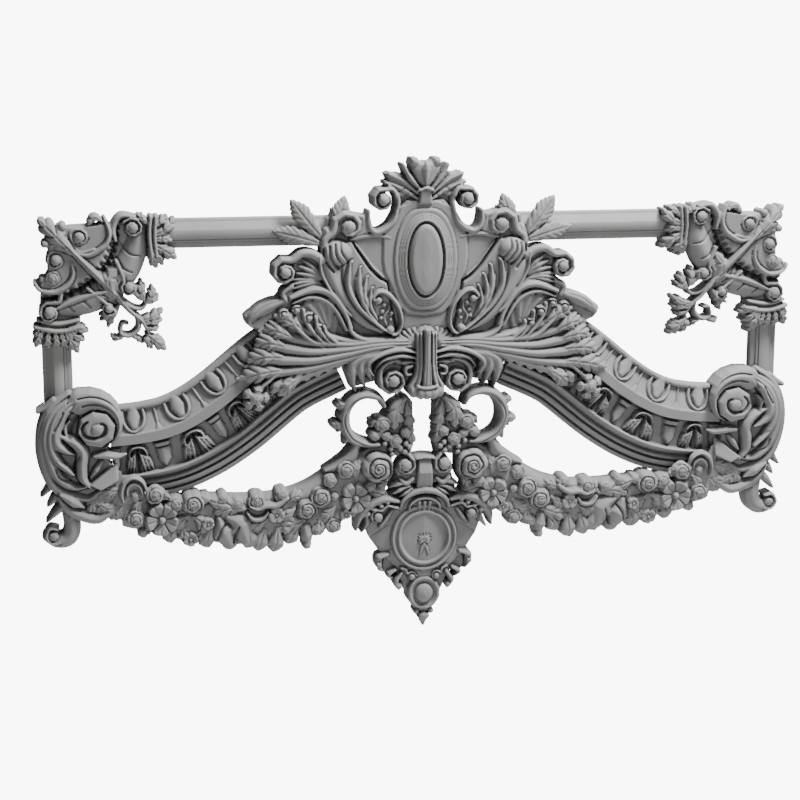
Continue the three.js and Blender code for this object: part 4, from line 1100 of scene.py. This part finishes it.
def drop(r):
    """Leaves, roses and berries of the drop."""
    for path, width, top in (
            (((40, -58), (34, -96), (22, -130)), 30, 50), (((34, -100), (30, -136), (28, -168)), 28, 50),
            (((88, -88), (104, -98), (122, -114)), 24, 50), (((44, -48), (64, -76), (66, -122)), 44, 59)):
        r.leaf(path, width, [top - 3, top, top - 7], lobes=3, cut=0.4, root=0.45)
    for k, (x, z, size, top) in enumerate(((92, -104, 17, 61), (64, -142, 15, 60), (110, -128, 13, 58),
                                           (42, -124, 12, 57), (84, -130, 11, 57))):
        r.rose(x, z, size, top, 0.7 * k)
    for x, z in (
            (42, -148), (54, -158), (44, -166), (34, -156), (74, -158), (88, -146), (72, -170), (102, -110)):
        r.boss(x, z, 6.5, 55, 6, moat=4)


def garland(r):
    """Leaves, folded leaf, ribbon, roses and open flowers of the garland."""
    for path, width, top in (
            (((124, -252), (104, -254), (82, -270)), 36, 50),
            (((128, -270), (112, -284), (100, -292)), 26, 48),
            (((150, -276), (152, -296), (150, -313)), 32, 50),
            (((182, -286), (188, -304), (182, -324)), 34, 50),
            (((230, -306), (228, -330), (220, -346)), 32, 50),
            (((278, -322), (290, -342), (302, -366)), 38, 50),
            (((322, -326), (324, -352), (332, -383)), 40, 52),
            (((350, -326), (358, -350), (364, -379)), 40, 51),
            (((388, -318), (382, -346), (392, -370)), 40, 52),
            (((462, -316), (472, -342), (464, -365)), 40, 50),
            (((482, -318), (494, -338), (488, -352)), 30, 49),
            (((540, -306), (550, -328), (546, -352)), 34, 50),
            (((590, -306), (604, -322), (598, -334)), 30, 49),
            (((524, -312), (522, -334), (526, -348)), 28, 49)):
        r.leaf(path, width, [top, top + 3, top - 12], lobes=2, cut=0.16, vein=1.5, root=0.6, rib=-3)
    for path, width, top in (
            (((196, -282), (216, -300), (238, -310)), 44, 54),
            (((262, -306), (292, -316), (326, -330)), 48, 56),
            (((300, -262), (280, -254), (262, -256)), 30, 54),
            (((284, -282), (300, -296), (296, -316)), 34, 57),
            (((344, -300), (368, -312), (378, -334)), 42, 56),
            (((470, -250), (446, -260), (416, -258)), 40, 56),
            (((392, -276), (424, -272), (462, -286)), 44, 58),
            (((500, -288), (484, -300), (462, -330)), 40, 57),
            (((514, -286), (530, -298), (532, -318)), 40, 57),
            (((606, -248), (618, -262), (612, -290)), 34, 56),
            (((546, -248), (560, -240), (566, -226)), 28, 54),
            (((150, -222), (150, -200), (138, -178)), 34, 54),
            (((82, -222), (96, -240), (110, -246)), 30, 54)):
        r.leaf(path, width, [top - 3, top, top - 8], lobes=3, cut=0.38, vein=3.5, slant=1.0, rib=-2.5)
    # Folded leaf like a bulb, with its dark slits
    r.rib([(388, -346), (404, -308), (428, -292)], [30, 52, 20], [56, 62, 56], 13, 5)
    r.rib([(424, -352), (440, -320), (446, -296)], [34, 46, 18], [54, 62, 56], 13, 6)
    for slit in (((404, -312), (412, -330), (416, -350)), ((432, -306), (444, -322), (450, -340))):
        r.cut(slit, [3, 7, 3], 9)
    # Ribbon, crescent and heart-shaped petal
    r.rib([(300, -256), (322, -270), (346, -270), (362, -276), (380, -270)], [9, 15, 15, 12, 6], 62, 9, 6)
    r.rib([(342, -284), (354, -298), (374, -298), (386, -284)], [6, 11, 12, 6], 61, 8, 6)
    r.flower(324, -292, 19, 62, 3, 0.5, depth=5, heart=0.14)
    roses = [(104, -198, 35, 79), (173, -200, 20, 64), (207, -222, 16, 62), (228, -257, 23, 67),
             (120, -238, 13, 61), (198, -258, 9, 59), (258, -284, 24, 66), (200, -324, 19, 58),
             (235, -332, 14, 56), (312, -250, 16, 58), (365, -261, 20, 62), (407, -264, 14, 60),
             (438, -250, 12, 57), (502, -258, 25, 70), (538, -257, 18, 66), (580, -235, 22, 68),
             (302, -326, 9, 57)]
    for k, (x, z, size, top) in enumerate(roses):
        r.rose(x, z, size, top, 0.9 * k)
    r.boss(475, -250, 10, 55, 7, moat=5, sides=5)
    # Tulip and the open flowers
    r.rib([(262, -322), (258, -346), (258, -362)], [22, 30, 20], [54, 58, 52], 11, 5)
    r.boss(258, -364, 10, 54, 7, moat=5, sides=6)
    for x, z, size, top, petals, turn in (
            (152, -264, 35, 66, 5, 0.4), (174, -298, 14, 58, 5, 0.9), (567, -290, 39, 69, 5, 0.2),
            (508, -338, 18, 57, 5, 0.5), (470, -304, 14, 63, 5, 0.1), (410, -236, 8, 54, 5, 0)):
        r.flower(x, z, size, top, petals, turn)


def strap(r):
    """Curled strap round its opening, toothed outside, and its tail."""
    for a in (1.2, 0.72, 0.24, -0.24, -0.72, -1.2):
        x, z = 130 + 44 * math.cos(a), -92 + 50 * math.sin(a)
        r.rib([(x, z), (x + 8 * math.cos(a), z + 8 * math.sin(a) - 3),
               (x + 16 * math.cos(a), z + 14 * math.sin(a) - 12)], [14, 18, 5], [54, 53, 44])
    r.rib([(88, -64), (100, -46), (130, -38), (156, -48), (172, -74), (172, -108), (156, -134), (128, -146),
           (100, -148)], [12, 18, 22, 24, 24, 24, 24, 20, 12], [58, 63, 60, 54], 12, 5)
    r.cut([(98, -56), (130, -42), (160, -56), (176, -90), (160, -130), (124, -150)], [2, 4, 4, 4, 4, 2], 5)
    r.leaf([(166, -56), (184, -60), (198, -60)], 22, [52, 54, 44], lobes=2, cut=0.35, depth=8, slant=1.2,
           root=0.45, moat=3)
    r.leaf([(172, -96), (190, -102), (208, -100)], 24, [52, 54, 44], lobes=2, cut=0.35, depth=8, slant=1.2,
           root=0.45, moat=3)
    r.rib([(146, -142), (162, -172), (186, -190), (216, -202)], [20, 30, 26, 12], [54, 52, 46], 9)
    r.rib([(98, -120), (66, -146), (40, -170), (19, -183)], [20, 17, 14, 8], [55, 51], 8, 5)


def arm_point(s, down):
    """Places of points a length along the arm's top edge and a distance down from it."""
    run = np.hypot(*np.diff(ARM_EDGE, axis=0).T)
    along = np.concatenate([[0], np.cumsum(run)])
    way = np.gradient(ARM_EDGE, along, axis=0)
    way /= np.hypot(*way.T)[:, None]
    x, z = np.interp(s, along, ARM_EDGE[:, 0]), np.interp(s, along, ARM_EDGE[:, 1])
    tx, tz = np.interp(s, along, way[:, 0]), np.interp(s, along, way[:, 1])
    return x + tz * down, z - tx * down


def arm():
    """Pediment arm, drawn straight: x along its length and z down across it."""
    length = np.hypot(*np.diff(ARM_EDGE, axis=0).T).sum()
    r = Relief(-4, length + 4, -ARM_WIDTH - 4, 4)
    x, z = r.grid()
    down = -z
    # Points down across the arm and out of the wall
    section = np.array([(0, 25), (2, 28), (7, 30), (12, 28), (13, 21), (20, 23), (32, 28), (46, 34), (58, 40),
                        (60, 44), (83, 44), (84, 18), (88, 22), (146, 24), (149, 38), (152, 40), (165, 20),
                        (167, 27), (171, 31), (176, 28), (177, 17), (180, 17), (181, 27), (186, 28),
                        (192, 26), (193, 16), (196, 16), (197, 24), (206, 22)])
    r.height = np.interp(down, section[:, 0], section[:, 1])
    r.edge = np.maximum(np.maximum(1 - x, x + 1 - length), np.maximum(z, -ARM_WIDTH - z))
    first, pitch = 84, 86
    for k in range(6):
        s = first + k * pitch
        # Egg in its husk, and the dart beside it
        r.rib([(s - 21, -14), (s - 21, -32), (s - 14, -48), (s, -56), (s + 14, -48), (s + 21, -32),
               (s + 21, -14)], 7, [30, 36, 42, 44, 42, 36, 30], 4, 3)
        r.stroke([(s, -12), (s, -30), (s, -45)], [22, 28, 16], [32, 37, 43], 8, "round", 3)
        r.stroke([(s + 42, -14), (s + 42, -46)], [5, 4], [27, 37], 3, "gable", 2)
        r.stroke([(s + 42, -46), (s + 42, -58)], [4, 15], [38, 43], 4, "gable", 2)
    for k in range(-1, 10):
        s = first + k * pitch / 2
        if k % 2:
            # Plain tongue between the leaves, under a slanting cap
            r.plate([(s - 13, -88), (s + 13, -88), (s + 9, -99), (s - 9, -99)],
                    lambda x, z: 38 + 0.4 * (z + 92), 2, 3, 3)
            r.plate([(s - 10, -101), (s + 10, -101), (s + 8, -128), (s, -144), (s - 8, -128)],
                    lambda x, z: 35 - 0.45 * np.abs(x - s), 2, 3, 4)
        else:
            # Leaf under an arched hood, slit down the middle, its ribs fanning down
            for side in (-1, 1):
                for rib in (2, 1, 0):
                    wide = 6 + 5 * rib
                    r.rib([(s + side * 3, -103 - 2 * rib), (s + side * (wide - 1), -106 - 5 * rib),
                           (s + side * (wide + 2), -126 - rib), (s + side * (wide + 5), -147 + 2 * rib)],
                          [4, 6, 6, 3], [39 - rib, 42 - rib, 40 - rib, 32], 7)
            r.rib([(s - 15, -114), (s - 14, -100), (s - 7, -91), (s + 7, -91), (s + 14, -100),
                   (s + 15, -114)], [3, 5, 6, 6, 5, 3], [38, 44, 44, 38], 6)
            r.cut([(s, -100), (s, -146)], 4, 10)
    return r


def moulding(name, lengthways):
    """Straight run of the frame's moulding: its section drawn from one end to the other."""
    # Points across the moulding and out of the wall, from its outer edge to its inner one
    section = [(0, 0), (0, 14), (1, 16), (3, 17), (7, 17.4), (8, 18), (23, 29.5), (24.5, 30), (42, 30),
               (43, 29), (43.6, 25.5), (46, 26.6), (48.6, 25.5), (49, 22), (60, 21.5), (61, 20.5), (61, 0)]
    n = len(section)
    points = [lengthways(end, across, tall) for end in (0, 1) for across, tall in section]
    faces = [[a, (a + 1) % n, (a + 1) % n + n, a + n] for a in range(n)]
    faces += [list(range(n))[::-1], [n + i for i in range(n)]]
    mesh = bpy.data.meshes.new(name)
    mesh.from_pydata([(x / 1000, y / 1000, z / 1000) for x, y, z in points], [], faces)
    # Every face is turned to look out
    bm = bmesh.new()
    bm.from_mesh(mesh)
    bmesh.ops.recalc_face_normals(bm, faces=bm.faces)
    bm.to_mesh(mesh)
    bm.free()
    return mesh


def rail_point(t, across, tall):
    """Point of the top rail, t of the way from the cartouche to the corner."""
    return RAIL[0] + t * (RAIL[1] - RAIL[0]), -tall, FRAME_TOP - across


def post_point(t, across, tall):
    """Point of the post, t of the way down."""
    return FRAME_HALF_WIDTH - across, -tall, POST[3] - t * (POST[3] - POST[2])


def flipped(mesh, name):
    """The left-hand copy of a right-hand mesh."""
    copy = mesh.copy()
    copy.name = name
    places = np.empty(len(copy.vertices) * 3)
    copy.vertices.foreach_get("co", places)
    places[0::3] *= -1
    copy.vertices.foreach_set("co", places)
    copy.flip_normals()
    return copy


def add_node(tree, kind, **values):
    """New shader node, with some of its inputs set."""
    node = tree.nodes.new("ShaderNode" + kind)
    for name, value in values.items():
        node.inputs[name.replace("_", " ")].default_value = value
    return node


def multiply(tree, first, second, factor):
    """Colour of the first socket times that of the second, by a factor."""
    blend = tree.nodes.new("ShaderNodeMix")
    blend.data_type = "RGBA"
    blend.blend_type = "MULTIPLY"
    blend.inputs["Factor"].default_value = factor
    tree.links.new(first, blend.inputs[6])
    tree.links.new(second, blend.inputs[7])
    return blend.outputs[2]


def grade(tree, value, *stops):
    """Colour read from a value between stops, each a value and its colour."""
    node = tree.nodes.new("ShaderNodeValToRGB")
    elements = node.color_ramp.elements
    elements[0].position, elements[1].position = stops[0][0], stops[-1][0]
    for stop, _ in stops[1:-1]:
        elements.new(stop)
    for element, (_, colour) in zip(elements, stops):
        element.color = (*colour, 1)
    tree.links.new(value, node.inputs["Fac"])
    return node.outputs["Color"]


def primer():
    """Matte grey primer brushed over carved wood, with shade painted into its creases and hollows."""
    dark, pale = (0.19, 0.19, 0.188), (0.225, 0.225, 0.222)
    mat = bpy.data.materials.new("grey primer on wood")
    mat.use_nodes = True
    tree = mat.node_tree
    link = tree.links.new
    shader = tree.nodes["Principled BSDF"]
    shader.inputs["Metallic"].default_value = 0.0
    shader.inputs["Specular IOR Level"].default_value = 0.35
    spot = add_node(tree, "TexCoord").outputs["Object"]
    cloud = add_node(tree, "TexNoise", Scale=9, Detail=6)
    link(spot, cloud.inputs["Vector"])
    tone = grade(tree, cloud.outputs["Fac"], (0.3, dark), (0.75, pale))
    # Edges rubbed a little lighter as wear; creases and hollows a little darker as painted shade
    form = add_node(tree, "NewGeometry").outputs["Pointiness"]
    wear_and_crease_shade = grade(tree, form, (0.4, (0.5, 0.5, 0.5)), (0.5, (1, 1, 1)), (0.6, (1.25, 1.25, 1.25)))
    worn_and_crease_shaded = multiply(tree, tone, wear_and_crease_shade, 0.85)
    # Painted shade: ambient occlusion darkens the hollows
    hollow = add_node(tree, "AmbientOcclusion", Distance=0.014)
    hollow.samples = 6
    shade = add_node(tree, "MapRange", From_Min=0.15, From_Max=0.75, To_Min=0.5)
    link(hollow.outputs["AO"], shade.inputs["Value"])
    # Base colour: random tone and edge wear, times the painted shade of creases and hollows
    link(multiply(tree, worn_and_crease_shaded, shade.outputs["Result"], 1.0), shader.inputs["Base Color"])
    # Fine brush grain
    grain = add_node(tree, "TexNoise", Scale=420, Detail=3)
    link(spot, grain.inputs["Vector"])
    rough = add_node(tree, "MapRange", To_Min=0.62, To_Max=0.8)
    link(grain.outputs["Fac"], rough.inputs["Value"])
    link(rough.outputs["Result"], shader.inputs["Roughness"])
    bump = add_node(tree, "Bump", Strength=0.25, Distance=0.0004)
    link(grain.outputs["Fac"], bump.inputs["Height"])
    link(bump.outputs["Normal"], shader.inputs["Normal"])
    return mat


paint = primer()


def place(mesh, node):
    """Puts a mesh in the scene in the place of a solid."""
    mesh.set_sharp_from_angle(angle=math.radians(SHARP))
    piece = bpy.data.objects.new(mesh.name, mesh)
    bpy.context.scene.collection.objects.link(piece)
    mesh.materials.append(paint)
    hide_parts(node)
    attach(piece, "root")


def arm_warp(points):
    """Bends the arm, drawn straight, along its top edge."""
    x, z = arm_point(points[:, 0], -points[:, 2])
    return np.stack([x, points[:, 1], z], 1)


def floor():
    """Pale floor well below the onlay."""
    mat = bpy.data.materials.new("pale floor")
    mat.use_nodes = True
    tree = mat.node_tree
    shader = tree.nodes["Principled BSDF"]
    shader.inputs["Roughness"].default_value = 0.9
    haze = add_node(tree, "TexNoise", Scale=2)
    tint = add_node(tree, "MapRange", To_Min=0.84, To_Max=0.88)
    tree.links.new(haze.outputs["Fac"], tint.inputs["Value"])
    tree.links.new(tint.outputs["Result"], shader.inputs["Base Color"])
    near, far, half, level = -3.0, 0.5, 2.5, -1.45
    mesh = bpy.data.meshes.new("floor")
    mesh.from_pydata([(-half, near, level), (half, near, level), (half, far, level), (-half, far, level)], [],
                     [(0, 1, 2, 3)])
    mesh.materials.append(mat)
    piece = bpy.data.objects.new("floor", mesh)
    bpy.context.scene.collection.objects.link(piece)


def light(name, spot, size, power):
    """Square lamp that faces the middle of the onlay."""
    lamp = bpy.data.lights.new(name, "AREA")
    lamp.shape = "SQUARE"
    lamp.size = size
    lamp.energy = power
    holder = bpy.data.objects.new(name, lamp)
    holder.location = spot
    holder.rotation_euler = (-Vector(spot)).to_track_quat("-Z", "Y").to_euler()
    bpy.context.scene.collection.objects.link(holder)


def sky():
    """White all round to the eye, with little light from the sides."""
    dim, bright = 0.1, 9.0
    world = bpy.data.worlds.new("studio")
    bpy.context.scene.world = world
    world.use_nodes = True
    tree = world.node_tree
    ray = add_node(tree, "LightPath")
    strength = add_node(tree, "MapRange", To_Min=dim, To_Max=bright)
    tree.links.new(ray.outputs["Is Camera Ray"], strength.inputs["Value"])
    background = tree.nodes["Background"]
    background.inputs["Color"].default_value = (1, 1, 1, 1)
    tree.links.new(strength.outputs["Result"], background.inputs["Strength"])


def camera():
    """The photo's view: from the front, a little from the left and from above."""
    lens = bpy.data.cameras.new("camera")
    lens.sensor_width = 36
    lens.lens = 82.78
    eye = bpy.data.objects.new("camera", lens)
    eye.location = (-0.761939, -3.839063, 0.742194)
    down, turn = 11.6305, 10.5699
    eye.rotation_euler = (math.radians(90 - down), 0, math.radians(-turn))
    bpy.context.scene.collection.objects.link(eye)
    bpy.context.scene.camera = eye


crest = cartouche_half()
hanging = swag()
hanging.keep_off(crest, GAP + 0.1)
place(body_mesh("cartouche_carving", crest.mirrored()), "cartouche")
place(body_mesh("pendant_carving", pendant_half().mirrored()), "pendant")
pairs = {
    "corner": body_mesh("corner_carving_right", corner_ornament()),
    "volute": body_mesh("volute_carving_right", side_volute()),
    "swag": body_mesh("swag_carving_right", hanging),
    "arm": body_mesh("arm_carving_right", arm(), arm_warp),
    "top_rail": moulding("top_rail_moulding_right", rail_point),
    "post": moulding("post_moulding_right", post_point),
}
for name, mesh in pairs.items():
    left = flipped(mesh, mesh.name.replace("right", "left"))
    place(mesh, name + "_right")
    place(left, name + "_left")

floor()
light("key", (1.6, -0.95, 3.0), 0.9, 325)
light("front", (0.9, -4.4, 0.4), 1.2, 42)
light("top", (0.5, -0.4, 3.2), 1.6, 120)
light("back", (0.8, 4.2, 1.0), 1.6, 60)
sky()
camera()
